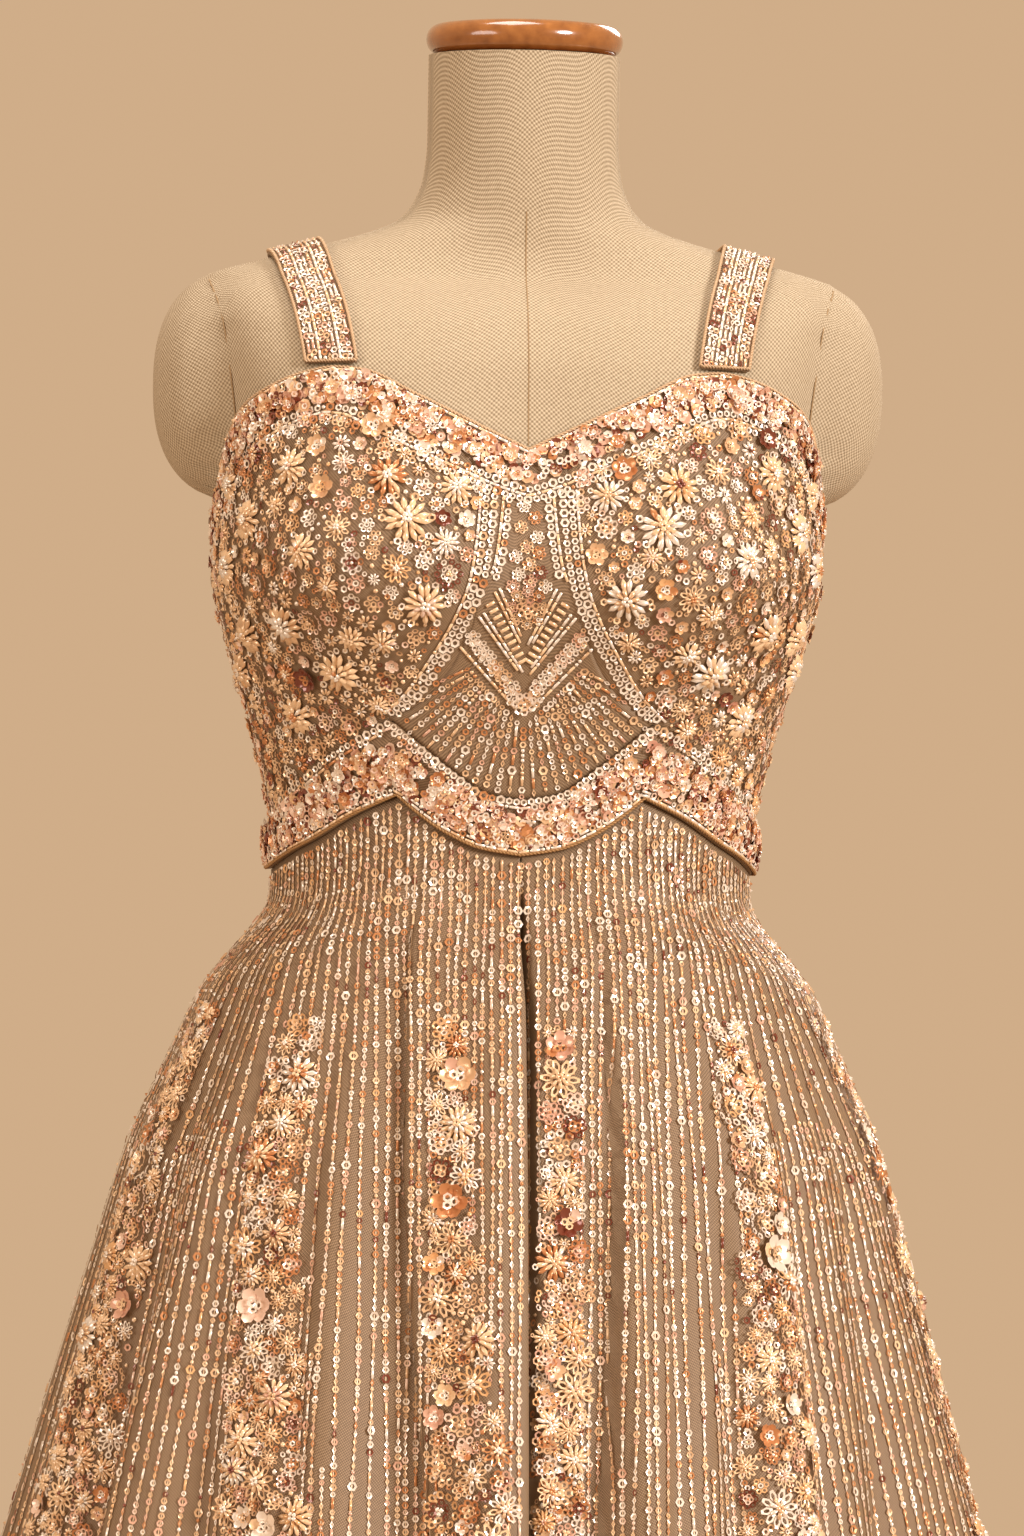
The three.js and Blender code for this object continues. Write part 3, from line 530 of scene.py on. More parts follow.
# Meshes. A part is (points in mm, faces, material numbers, smooth or not), the last two per face or one.
def make_object(name, parts, materials, uv=None):
    points = np.concatenate([p[0] for p in parts])
    starts = np.cumsum([0] + [len(p[0]) for p in parts])
    corners = np.concatenate([(p[1] + s).ravel() for p, s in zip(parts, starts)])
    sizes = np.concatenate([np.full(len(p[1]), p[1].shape[1]) for p in parts])
    mesh = bpy.data.meshes.new(name)
    mesh.vertices.add(len(points))
    mesh.vertices.foreach_set("co", (points * MM).astype(np.float32).ravel())
    mesh.loops.add(len(corners))
    mesh.loops.foreach_set("vertex_index", corners.astype(np.int32))
    mesh.polygons.add(len(sizes))
    mesh.polygons.foreach_set("loop_start", (np.cumsum(sizes) - sizes).astype(np.int32))
    for i, field, kind in ((2, "material_index", np.int32), (3, "use_smooth", bool)):
        values = np.concatenate([np.broadcast_to(p[i], len(p[1])) for p in parts])
        mesh.polygons.foreach_set(field, values.astype(kind))
    if uv is not None:
        layer = mesh.uv_layers.new(name="UVMap")
        layer.data.foreach_set("uv", uv[corners].astype(np.float32).ravel())
    mesh.update(calc_edges=True)
    mesh.validate()
    for material in materials:
        mesh.materials.append(material)
    piece = bpy.data.objects.new(name, mesh)
    bpy.context.collection.objects.link(piece)
    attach(piece, "root")
    return piece


def grid_faces(rows, columns, closed=False):
    r, c = np.meshgrid(np.arange(rows - 1), np.arange(columns if closed else columns - 1), indexing="ij")
    n = (c + 1) % columns
    a, b = r * columns + c, r * columns + n
    return np.stack([a, a + columns, b + columns, b], -1).reshape(-1, 4)


def capped_faces(rows, columns):
    """Triangles of a closed tube of points, and of its two ends, whose tips are the last two points."""
    sides = grid_faces(rows, columns, closed=True)[:, ::-1]
    i = np.arange(columns)
    n = (i + 1) % columns
    top, low = (rows - 1) * columns, np.full(columns, rows * columns)
    ends = [np.stack([n, i, low], -1), np.stack([top + i, top + n, low + 1], -1)]
    return np.concatenate([sides[:, [0, 1, 2]], sides[:, [0, 2, 3]], *ends])


def lengths(points, axis=0):
    """Distances along lines of points, from their first point."""
    steps = np.linalg.norm(np.diff(points, axis=axis), axis=-1)
    zero = np.zeros_like(np.take(steps, [0], axis))
    return np.concatenate([zero, np.cumsum(steps, axis)], axis)


def grid_uv(points):
    """Millimetres across and along a grid of points, from its middle column and its first row."""
    across = lengths(points, 1)
    across = across - across[:, [points.shape[1] // 2]]
    return np.stack([across, lengths(points, 0)], -1).reshape(-1, 2)


def cloth_wall(name, outer, inner, material, closed=False):
    """A thin closed wall between two grids of points, outer and inner."""
    rows, columns = outer.shape[:2]
    count = rows * columns
    face = grid_faces(rows, columns, closed)
    last = columns - 1
    edge = np.arange(columns if closed else last)
    after = (edge + 1) % columns
    foot = (rows - 1) * columns
    rims = [
        np.stack([edge, after, after + count, edge + count], -1),
        np.stack([foot + edge, foot + edge + count, foot + after + count, foot + after], -1),
    ]
    if not closed:
        side = np.arange(rows - 1) * columns
        below = side + columns
        rims.append(np.stack([side, side + count, below + count, below], -1))
        rims.append(np.stack([side + last, below + last, below + last + count, side + last + count], -1))
    faces = np.concatenate([face, face[:, ::-1] + count, *rims])
    points = np.concatenate([outer.reshape(-1, 3), inner.reshape(-1, 3)])
    normal = np.cross(points[face[:, 1]] - points[face[:, 0]], points[face[:, 3]] - points[face[:, 0]])
    if (normal * (points[face[:, 0]] - points[face[:, 0] + count])).sum() < 0:
        faces = faces[:, ::-1]
    smooth = np.arange(len(faces)) < 2 * len(face)
    uv = grid_uv(outer)
    return make_object(name, [(points, faces, 0, smooth)], [material], np.concatenate([uv, uv]))


def interpolated(places, along, points):
    return np.stack([np.interp(places, along, points[:, i]) for i in range(3)], -1)


def line_frame(points):
    """Directions ahead, outward and sideways at each point of a line round the body."""
    ahead = unit(np.gradient(points, axis=0))
    out = points - points.mean(0)
    out[:, 2] = 0
    side = unit(np.cross(ahead, unit(out + 1e-9)))
    return ahead, np.cross(side, ahead), side


def tube(points, radius, sides=4):
    _, out, side = line_frame(points)
    turn = 2 * np.pi * np.arange(sides) / sides
    ring = out[:, None] * np.cos(turn)[:, None] + side[:, None] * np.sin(turn)[:, None]
    return (points[:, None] + radius * ring).reshape(-1, 3), grid_faces(len(points), sides, True), 0, True


# A cord's points for each turn, and its strands' distance from the middle and radius, as shares of
# the cord's radius.
CORD_POINTS, STRAND_PLACE, STRAND_RADIUS = 4.5, 0.5, 0.58


def twisted_cord(name, points, radius, pitch, material):
    """Two strands wound round each other along a line."""
    along = lengths(points)
    places = np.linspace(0, along[-1], max(4, int(CORD_POINTS * along[-1] / pitch)))
    line = interpolated(places, along, points)
    _, out, side = line_frame(line)
    parts = []
    for start in (0, np.pi):
        turn = (start + 2 * np.pi * places / pitch)[:, None]
        strand = line + STRAND_PLACE * radius * (out * np.cos(turn) + side * np.sin(turn))
        parts.append(tube(strand, STRAND_RADIUS * radius))
    return make_object(name, parts, [material])


# Beads and sequins. Each shape is a small mesh with a radius or half length of 1, long ones along Y.
def round_sequin(sides, hole, dish):
    turn = 2 * np.pi * np.arange(sides) / sides
    rim = np.stack([np.cos(turn), np.sin(turn), np.full(sides, dish)], -1)
    i = np.arange(sides)
    n = (i + 1) % sides
    if hole == 0:
        return np.concatenate([rim, [[0, 0, 0]]]), np.stack([i, n, np.full(sides, sides)], -1), True
    return np.concatenate([rim, rim * [hole, hole, 0]]), np.stack([i, n, n + sides, i + sides], -1), False


def domed(outline, ridge, faces):
    """A small rounded shape, open underneath, from an outline low down and points along its top."""
    points = [(x, y, -0.3) for x, y in outline] + [(0, y, 1) for y in ridge]
    return np.array(points, float), np.array(faces), True


ROUND_FIVE = [(math.sin(0.4 * math.pi * i), math.cos(0.4 * math.pi * i)) for i in range(5)]
LONG_SIX = [(0, -1), (0.75, -0.45), (1, 0.4), (0, 1), (-1, 0.4), (-0.75, -0.45)]
SHAPES = {
    "ring": round_sequin(6, 0.5, 0.12),
    "link": round_sequin(4, 0.45, 0.12),
    "sequin": round_sequin(7, 0.22, 0.18),
    "cup": round_sequin(7, 0, 0.42),
    "bugle": domed(
        [(-1, -1), (1, -1), (1, 1), (-1, 1)],
        [-0.85, 0.85],
        [(0, 1, 4), (1, 2, 5), (1, 5, 4), (2, 3, 5), (3, 0, 4), (3, 4, 5)],
    ),
    "bead": domed(ROUND_FIVE, [0], [(1, 0, 5), (2, 1, 5), (3, 2, 5), (4, 3, 5), (0, 4, 5)]),
    "petal": domed(
        LONG_SIX,
        [-0.4, 0.45],
        [(0, 1, 6), (1, 2, 7), (1, 7, 6), (2, 3, 7), (3, 4, 7), (4, 5, 6), (4, 6, 7), (5, 0, 6)],
    ),
}


class Spots:
    """Places on a surface: points, and the directions across, up and out at each."""

    def __init__(self, point, across, up, out):
        self.point, self.across, self.up, self.out = point, across, up, out

    def __len__(self):
        return len(self.point)

    def __getitem__(self, which):
        return Spots(self.point[which], self.across[which], self.up[which], self.out[which])

    def repeated(self, times):
        return self[np.repeat(np.arange(len(self)), times)]

    def column(self, values):
        return np.broadcast_to(values, len(self))[:, None]

    def moved(self, up=0, out=0):
        point = self.point + self.column(up) * self.up + self.column(out) * self.out
        return Spots(point, self.across, self.up, self.out)

    def turned(self, angle):
        """Turned about the outward direction."""
        c, s = self.column(np.cos(angle)), self.column(np.sin(angle))
        return Spots(self.point, c * self.across + s * self.up, c * self.up - s * self.across, self.out)

    def pitched(self, angle):
        """Turned about the across direction, so that a positive angle lifts the far end of up."""
        c, s = self.column(np.cos(angle)), self.column(np.sin(angle))
        return Spots(self.point, self.across, c * self.up + s * self.out, c * self.out - s * self.up)

    def shaken(self, amount):
        """Tilted at random, mostly by less than amount in degrees."""
        tilt = np.radians(amount) * np.abs(random.normal(0, 0.6, len(self)))
        turn = random.uniform(0, 2 * np.pi, len(self))
        return self.turned(turn).pitched(tilt).turned(-turn)


def spots_on(radius, degrees, z):
    angle, z = np.broadcast_arrays(np.radians(degrees), np.asarray(z, float))
    step, rise = 0.004, 0.6

    def at(a, h):
        return polar(a, radius(a, h), h)

    across = unit(at(angle + step, z) - at(angle - step, z))
    out = unit(np.cross(across, at(angle, z + rise) - at(angle, z - rise)))
    return Spots(at(angle, z), across, np.cross(out, across), out)


def line_on(radius, degrees, z):
    """A line over a surface: its points and outward directions."""
    spots = spots_on(radius, degrees, z)
    return spots.point, spots.out


def triple(size):
    """A size across, along and thick, from itself or from one number for all three."""
    return size if isinstance(size, tuple) else (size, size, size)


class Beading:
    """Collects many beads and sequins, then joins them in one mesh."""

    def __init__(self):
        self.parts = []

    def add(self, shape, spots, size, colour):
        """size is (across, along, thick) or one for all, each a number or one for each spot."""
        if not len(spots):
            return
        points, faces, smooth = SHAPES[shape]
        sizes = np.stack([np.broadcast_to(s, len(spots)) for s in triple(size)], -1)
        local = points[None] * sizes[:, None]
        axes = np.stack([spots.across, spots.up, spots.out], 1)
        world = spots.point[:, None] + local @ axes
        index = faces[None] + (np.arange(len(spots)) * len(points))[:, None, None]
        looks = np.repeat(np.broadcast_to(colour, len(spots)), len(faces))
        self.parts.append((world.reshape(-1, 3), index.reshape(-1, faces.shape[1]), looks, smooth))

    def build(self, name):
        make_object(name, self.parts, BEAD_COLOURS)


def pick(count, shares):
    shares = np.array(shares, float)
    return random.choice(len(shares), count, p=shares / shares.sum())


# A stitched line's beads: shape, length along the line, size, lift and tilt.
CHAIN_BEADS = [
    ("ring", 3.9, 1.95, 0.3, 12),
    ("ring", 5.2, 2.6, 0.6, 16),
    ("bugle", 5.8, (0.7, 2.7, 0.7), 0.6, 3),
    ("bead", 2.6, (1.1, 1.2, 1.1), 0.8, 0),
    ("ring", 3.2, 1.5, 0.3, 12),
    ("link", 4.1, (1.1, 2.15, 1.1), 0.4, 8),
]
CHAIN_LENGTHS = np.array([bead[1] for bead in CHAIN_BEADS])
# Kinds of line: shares of the beads above, and shares of the colours.
CHAINS = {
    "rows": ([22, 5, 5, 14, 20, 34], [33, 25, 10, 14, 5, 3, 7, 3]),
    "bright": ([70, 25, 0, 5, 0, 0], [85, 8, 0, 7, 0, 0, 0, 0]),
    "strap": ([35, 0, 15, 25, 15, 10], [42, 16, 12, 5, 16, 9, 0, 0]),
    "thin": ([0, 0, 80, 20, 0, 0], [55, 15, 0, 0, 0, 0, 30, 0]),
    "fan": ([24, 5, 8, 13, 20, 30], [36, 28, 10, 18, 0, 0, 8, 0]),
}


def add_chain(beading, line, style, out=0.5):
    """A stitched line of beads along (points, outward directions)."""
    points, normals = line
    along = lengths(points)
    kinds = pick(int(along[-1] / CHAIN_LENGTHS.min()) + 2, CHAINS[style][0])
    ends = np.cumsum(CHAIN_LENGTHS[kinds])
    places = (ends - CHAIN_LENGTHS[kinds] / 2)[ends <= along[-1]]
    kinds = kinds[: len(places)]
    normal = unit(interpolated(places, along, normals))
    ahead = interpolated(places + 1, along, points) - interpolated(places - 1, along, points)
    ahead = unit(ahead - (ahead * normal).sum(1, keepdims=True) * normal)
    spots = Spots(interpolated(places, along, points), np.cross(ahead, normal), ahead, normal)
    colours = pick(len(places), CHAINS[style][1])
    for kind, (shape, _, size, lift, tilt) in enumerate(CHAIN_BEADS):
        chosen = np.flatnonzero(kinds == kind)
        beading.add(shape, spots[chosen].moved(out=out + lift).shaken(tilt), size, colours[chosen])


# Flowers, as rounds of parts: shape, how many, distance from the middle, lift, tilt in degrees, size
# across, along and thick or one for all, and which colours. Distances, lifts and sizes are shares of
# the flower's radius.
FLOWERS = {
    "daisy": [
        ("petal", 13, 0.58, 0.12, -6, (0.125, 0.38, 0.15), "bead"),
        ("petal", 8, 0.34, 0.27, -12, (0.105, 0.25, 0.13), "bead"),
        ("ring", 6, 0.96, 0.10, 10, 0.17, "spark"),
        ("bead", 4, 0.13, 0.40, 0, 0.12, "spark"),
    ],
    "loops": [
        ("ring", 10, 0.64, 0.14, 2, (0.185, 0.36, 0.24), "bead"),
        ("petal", 7, 0.33, 0.28, -12, (0.11, 0.25, 0.14), "bead"),
        ("bead", 4, 0.13, 0.42, 0, 0.12, "spark"),
    ],
    "wreath": [
        ("ring", 10, 0.78, 0.08, 18, 0.22, "main"),
        ("ring", 6, 0.42, 0.20, 26, 0.22, "other"),
        ("bead", 3, 0.12, 0.34, 0, 0.13, "bead"),
    ],
    "star": [
        ("petal", 9, 0.58, 0.12, -6, (0.155, 0.40, 0.18), "bead"),
        ("ring", 1, 0, 0.32, 8, 0.30, "spark"),
    ],
    "double": [
        ("ring", 7, 0.66, 0.10, 20, 0.33, "main"),
        ("ring", 4, 0.30, 0.26, 30, 0.29, "other"),
        ("bead", 1, 0, 0.44, 0, 0.14, "spark"),
    ],
    "blossom": [
        ("cup", 6, 0.62, 0.12, 24, (0.36, 0.38, 0.36), "main"),
        ("ring", 3, 0.22, 0.26, 24, 0.24, "spark"),
    ],
    "posy": [
        ("ring", 6, 0.66, 0.12, 12, 0.35, "main"),
        ("ring", 1, 0, 0.26, 8, 0.34, "spark"),
    ],
    "dot": [("ring", 1, 0, 0.2, 12, 1, "main")],
    "pip": [("bead", 1, 0, 0.3, 0, 0.7, "bead")],
}
# Shares of the bead colours, for each part of a flower.
TINTS = {
    "pale": {
        "bead": [24, 12, 0, 3, 2, 0, 56, 3],
        "main": [24, 30, 12, 12, 9, 5, 4, 4],
        "other": [22, 28, 12, 14, 6, 6, 7, 5],
        "spark": [56, 20, 4, 8, 0, 2, 10, 0],
    },
    "warm": {
        "bead": [6, 14, 3, 10, 0, 1, 46, 20],
        "main": [14, 28, 18, 22, 6, 6, 2, 4],
        "other": [16, 26, 14, 20, 4, 10, 4, 6],
        "spark": [44, 20, 6, 16, 0, 6, 6, 2],
    },
    "silver": {
        "main": [70, 14, 4, 4, 8, 0, 0, 0],
        "other": [80, 20, 0, 0, 0, 0, 0, 0],
        "spark": [100, 0, 0, 0, 0, 0, 0, 0],
    },
    "rose": {
        "main": [10, 25, 30, 28, 0, 7, 0, 0],
        "other": [20, 40, 10, 20, 10, 0, 0, 0],
        "spark": [60, 40, 0, 0, 0, 0, 0, 0],
    },
}


# How far flowers stand off the cloth, how unevenly their parts lie in radians round and in degrees of
# tilt, and the share of parts in another colour.
FLOWER_LIFT, TURN_SPREAD, TILT_SPREAD, ODD_SHARE = 0.5, 0.06, 5, 0.12


def add_flowers(beading, kind, spots, radius, tint="pale"):
    count = len(spots)
    radius = np.broadcast_to(radius, count)
    spots = spots.turned(random.uniform(0, 2 * np.pi, count))
    for shape, petals, distance, lift, tilt, size, part in FLOWERS[kind]:
        r = np.repeat(radius, petals)
        even = np.tile(2 * np.pi * np.arange(petals) / petals, count)
        around = spots.repeated(petals).turned(even + random.normal(0, TURN_SPREAD, len(r)))
        around = around.moved(up=distance * r, out=FLOWER_LIFT + lift * r)
        lying = around.pitched(np.radians(random.normal(tilt, TILT_SPREAD, len(r))))
        own = np.repeat(pick(count, TINTS[tint][part]), petals)
        odd = random.random(len(r)) < ODD_SHARE
        colour = np.where(odd, pick(len(r), TINTS[tint][part]), own)
        beading.add(shape, lying, tuple(s * r for s in triple(size)), colour)


# Which flower fills a place: least and most radius, and kinds, each with the chance that it goes up to.
FIELD = [
    (7.5, 99, [("daisy", 0.34), ("loops", 0.68), ("wreath", 0.95), ("blossom", 1)]),
    (5.5, 7.5, [("daisy", 0.2), ("loops", 0.42), ("double", 0.9), ("blossom", 1)]),
    (3.4, 5.5, [("posy", 0.55), ("star", 0.82), ("blossom", 1)]),
    (0, 3.4, [("dot", 0.7), ("pip", 1)]),
]


def add_field(beading, spots, size, warm):
    """Flowers of all kinds at spots. warm is each one's chance of the copper colours."""
    chance = random.random(len(size))
    warm = random.random(len(size)) < warm
    for tint in ("pale", "warm"):
        for least, most, kinds in FIELD:
            fits = (size >= least) & (size < most) & (warm == (tint == "warm"))
            low = 0
            for kind, high in kinds:
                here = np.flatnonzero(fits & (chance >= low) & (chance < high))
                add_flowers(beading, kind, spots[here], size[here], tint)
                low = high


def scattered(region, sizes, tries, gap, taken=()):
    """Circles of the given (radius, how many), largest first, thrown in a region so that few overlap.
    region(n) gives up to n places as (across, up) in mm. Returns rows of place and radius."""
    kept = np.zeros((len(taken) + sum(wanted for _, wanted in sizes), 3))
    count = len(taken)
    if count:
        kept[:count] = taken
    for size, wanted in sizes:
        full = count + wanted
        for place in region(tries):
            if count == full:
                break
            near = np.hypot(kept[:count, 0] - place[0], kept[:count, 1] - place[1])
            if (near >= gap * (kept[:count, 2] + size)).all():
                kept[count] = (place[0], place[1], size)
                count += 1
    return kept[len(taken) : count]


# The dress form.
ARM_CAP = {"x": 149, "y": 4, "z": 1282, "width": 48, "depth": 50, "height": 62, "power": 2.4}
# The distances from the axis between which an arm cap's face is searched, in steps and then halvings.
CAP_NEAR, CAP_FAR, CAP_STEP, CAP_HALVINGS = 100, 200, 1.0, 12
# The cover's rounding where torso and cap meet: its sharpness and how far it fills the corner.
COVER_BLEND, COVER_FILL = 0.1, 2.5
# The arm seam's distance from the middle at each height, and the front seam's ends.
SEAM_TOP, SEAM_LOW = 1338, 1235
ARM_SEAM = curve([(SEAM_LOW, 149), (1255, 151), (1282, 154), (1312, 158.5), (1326, 162), (SEAM_TOP, 167)])
FRONT_SEAM = (1376, 1252)


def cap_reach(angle, z):
    """How far the arm cap reaches from the axis in a direction, or 0 where it misses."""
    c = ARM_CAP
    level = np.clip(1 - (np.abs(z - c["z"]) / c["height"]) ** c["power"], 0, 1)

    def inside(r):
        dx = np.abs(r * np.abs(np.sin(angle)) - c["x"]) / c["width"]
        dy = np.abs(-r * np.cos(angle) - c["y"]) / c["depth"]
        return dx ** c["power"] + dy ** c["power"] <= level

    low = np.zeros_like(angle)
    for r in np.arange(CAP_NEAR, CAP_FAR + CAP_STEP, CAP_STEP):
        low = np.where(inside(r), r, low)
    return np.where(low > 0, halved(low, low + CAP_STEP, inside, CAP_HALVINGS), 0)


def covered_radius(angle, z):
    """The linen cover over the torso and arm caps, rounded where they meet."""
    angle, z = arrays(angle, z)
    torso = form_radius(angle, z)
    cap = np.maximum(cap_reach(angle, z), torso - 30)
    blend = np.clip(0.5 + COVER_BLEND * (cap - torso), 0, 1)
    return mix(torso, cap, blend) + COVER_FILL * blend * (1 - blend)


def build_form():
    """The linen cover, with close rows of points over the chest, shoulders and arm caps."""
    half = [0.2, 0.5, *np.arange(3, 180, 3), 180]
    turn = np.radians([*(-d for d in reversed(half)), 0, *half])
    chest, neck = 1210, 1385
    z = [*np.arange(FORM_BOTTOM, chest, 12), *np.arange(chest, neck, 3), *np.linspace(1386, NECK_TOP, 14)]
    a, z = np.meshgrid(turn, z)
    points = polar(a, covered_radius(a, z), z)
    tube_parts = [(points.reshape(-1, 3), grid_faces(*a.shape)[:, ::-1], 0, True)]
    piece = make_object("form_linen", tube_parts, [LINEN], grid_uv(points))
    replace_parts(piece, "form_torso", "form_arm_cap_left", "form_arm_cap_right")
    ring = points[0]
    disc = np.concatenate([ring[None], 0.5 * ring[None] * [1, 1, 2], 0 * ring[None] + [0, 0, FORM_BOTTOM]])
    bottom = [(disc.reshape(-1, 3), grid_faces(3, len(ring)), 0, False)]
    make_object("form_bottom", bottom, [LINEN], disc[..., :2].reshape(-1, 2))


def build_form_seams():
    """Thin threads down the middle of the chest, and over each arm seam in front and behind."""
    z = np.linspace(*FRONT_SEAM, 60)
    parts = [tube(polar(0 * z, covered_radius(0 * z, z) + 0.15, z), 0.35)]
    z = np.linspace(SEAM_TOP, SEAM_LOW, 70)[:, None]
    turn = np.radians(np.linspace(30, 89.5, 500))[None, :]
    for front in (True, False):
        around = turn if front else np.pi - turn
        reach = covered_radius(around, z) * np.sin(turn)
        first = np.argmax(reach >= ARM_SEAM(z), axis=1)
        angle = around[0][first[first > 0]]
        level = z[first > 0, 0]
        line = polar(angle, covered_radius(angle, level) + 0.5, level)
        for side in (-1, 1):
            parts.append(tube(line * [side, 1, 1], 0.5))
    make_object("form_seams", parts, [THREAD])


SHARP_EDGE = 40  # Degrees.


def lathe_object(name, profile, segments, material, node):
    """A turned solid from (radius, z) rows, closed on the axis."""
    radius, z = np.array(profile, float).T
    turn = 2 * np.pi * np.arange(segments) / segments
    points = polar(turn[None, :], radius[:, None], z[:, None] + 0 * turn)
    tips = [[0, 0, z[0]], [0, 0, z[-1]]]
    points = np.concatenate([points.reshape(-1, 3), tips])
    piece = make_object(name, [(points, capped_faces(len(z), segments), 0, True)], [material])
    piece.data.set_sharp_from_angle(angle=math.radians(SHARP_EDGE))
    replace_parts(piece, node)


# The neck cap's rounded edge: the middle of its curve, and how far it swells out and up from there.
CAP_EDGE = {"radius": 46, "height": 8.2, "out": 7, "up": 8.0}


def build_neck_cap():
    low = NECK_TOP + 2 * SEAM
    c, middle = CAP_EDGE, low + CAP_EDGE["height"]
    turn = np.radians(-80 + 16 * np.arange(11))
    edge = [(c["radius"] + c["out"] * math.cos(t), middle + c["up"] * math.sin(t)) for t in turn]
    profile = [(50.2, low), *edge, (40, low + 17), (20, low + 18), (4, low + 18.4)]
    lathe_object("neck_cap_wood", profile, 96, WOOD, "neck_cap")


def build_stand():
    hole = POLE_RADIUS + 0.4
    base = [
        (167, 0), (169, 0.6), (170, 3), (169, 8), (165.5, 10), (40, 12), (27, 14), (23, 18), (22, 27),
        (21, 28), (hole, 28), (hole, 4),
    ]  # fmt: skip
    lathe_object("stand_base_metal", base, 96, STEEL, "stand_base")
    top = FORM_BOTTOM - 0.4
    neck, flange = [(POLE_RADIUS, top - 17), (16, top - 10), (19, top - 5)], 45
    pole = [(POLE_RADIUS, 4.4), *neck, (flange, top - 5), (flange, top)]
    lathe_object("stand_pole_metal", pole, 48, STEEL, "stand_pole")


# Cloth shells on the solids' forms. A shell is a little thinner than the solid that it stands for.
SHELL = 1.6


def shell(node, degrees, z, radius, flat, area, held, raised=0):
    angle = np.radians(degrees)
    reach = radius(angle, z)
    outer, inner = polar(angle, reach + raised, z), polar(angle, reach - SHELL, z)
    piece = cloth_wall(f"{node}_cloth", outer, inner, NET)
    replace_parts(piece, node)


# The bodice's front seams run under the silver lines: z and degrees.
CUP_LOW, CUP_HIGH = 1107, 1258.5
CUP_SEAM = curve(
    [(CUP_LOW, 36), (1122, 29), (1144, 21), (1160, 16.5), (1178, 12.5), (1201, 10.5), (CUP_HIGH, 9.5)]
)
SIDE_GAP = 0.02
BACK_EDGE = 179.95


def bodice_panel(start, end, columns, rows):
    """Degrees and z over a panel. start and end give its sides' degrees, for shares of the way up."""
    v = np.linspace(0, 1, rows)[:, None]
    degrees = mix(start(v), end(v), np.linspace(0, 1, columns)[None, :])
    return degrees, mix(band_top(degrees) + SEAM, neck_edge(degrees), v)


def build_bodice():
    def seam(side):
        return lambda v: side * CUP_SEAM(mix(CUP_LOW, CUP_HIGH, v))

    centre = bodice_panel(seam(-1), seam(1), 50, 60)
    shell("bodice_centre_front", *centre, bodice_radius, (0.15, 0.195), 0.0165, "stretched")
    for side, name in SIDES:
        cup = bodice_panel(seam(side), always(side * (SIDE - SIDE_GAP)), 60, 60)
        shell(f"bodice_cup_{name}", *cup, bodice_radius, (0.22, 0.25), 0.0375, "stretched")
        back = bodice_panel(always(side * (SIDE + SIDE_GAP)), always(side * BACK_EDGE), 40, 30)
        shell(f"bodice_back_{name}", *back, bodice_radius, (0.22, 0.17), 0.0345, "stretched")


def build_band():
    v = np.linspace(0, 1, 9)[:, None]
    degrees = np.linspace(-179.9, 179.9, 240)[None, :] + 0 * v
    z = mix(band_top(degrees) - SEAM, band_foot(degrees), v)
    angle = np.radians(degrees)
    outer = polar(angle, band_radius(angle, z), z)
    inner = polar(angle, bodice_radius(angle, z) - SHELL, z)
    piece = cloth_wall("underbust_band_cloth", outer, inner, NET)
    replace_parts(piece, "underbust_band")


def lumps(angle, z):
    """How the cloth lies unevenly under the flower columns, from 0.1 to 1."""
    return 0.55 + 0.45 * np.sin(angle * 13 + np.sin(z / 23)) * np.sin(z / 8.5 + 2 * np.sin(angle * 5))


LUMP_HEIGHT = 0.6
SKIRT_ROWS, SKIRT_POINTS, ROW_SPREAD = 43, 101, 1.15


def build_skirt():
    """Four panels. Their rows are closer at the top, where the forms change fast."""
    gap = 0.03
    for node, start, end, radius in (
        ("kurti_front_left", always(-SIDE + gap), left_edge, skirt_radius),
        ("kurti_front_right", lambda z: slit_edge(RIGHT_EDGE, z), always(SIDE - gap), tucked_radius),
        ("kurti_back_left", always(-180 + gap), always(-SIDE - gap), skirt_radius),
        ("kurti_back_right", always(SIDE + gap), always(180 - gap), skirt_radius),
    ):
        v = np.linspace(0, 1, SKIRT_ROWS)[:, None] ** ROW_SPREAD
        z = mix(1030.0, KURTI_HEM, v)
        degrees = mix(start(z), end(z), np.linspace(0, 1, SKIRT_POINTS)[None, :])
        z = mix(band_foot(degrees) - 2 * SEAM, KURTI_HEM, v)
        raised = LUMP_HEIGHT * lumps(np.radians(degrees), z) * column_cover(degrees, z)
        flat = (0.50, 0.63 if "front" in node else 0.59)
        shell(node, degrees, z, radius, flat, 0.215, "draped", raised)


LEG_POINTS = 121
LEG_STEP = 0.003  # A share of the way round, for finding which way is inward.
# The waistband's cloth: how far its faces stand off the form, and the height and number of gathers.
WAISTBAND = {"outer": 4.0, "inner": 1.4, "gather": 0.5, "gathers": 60}


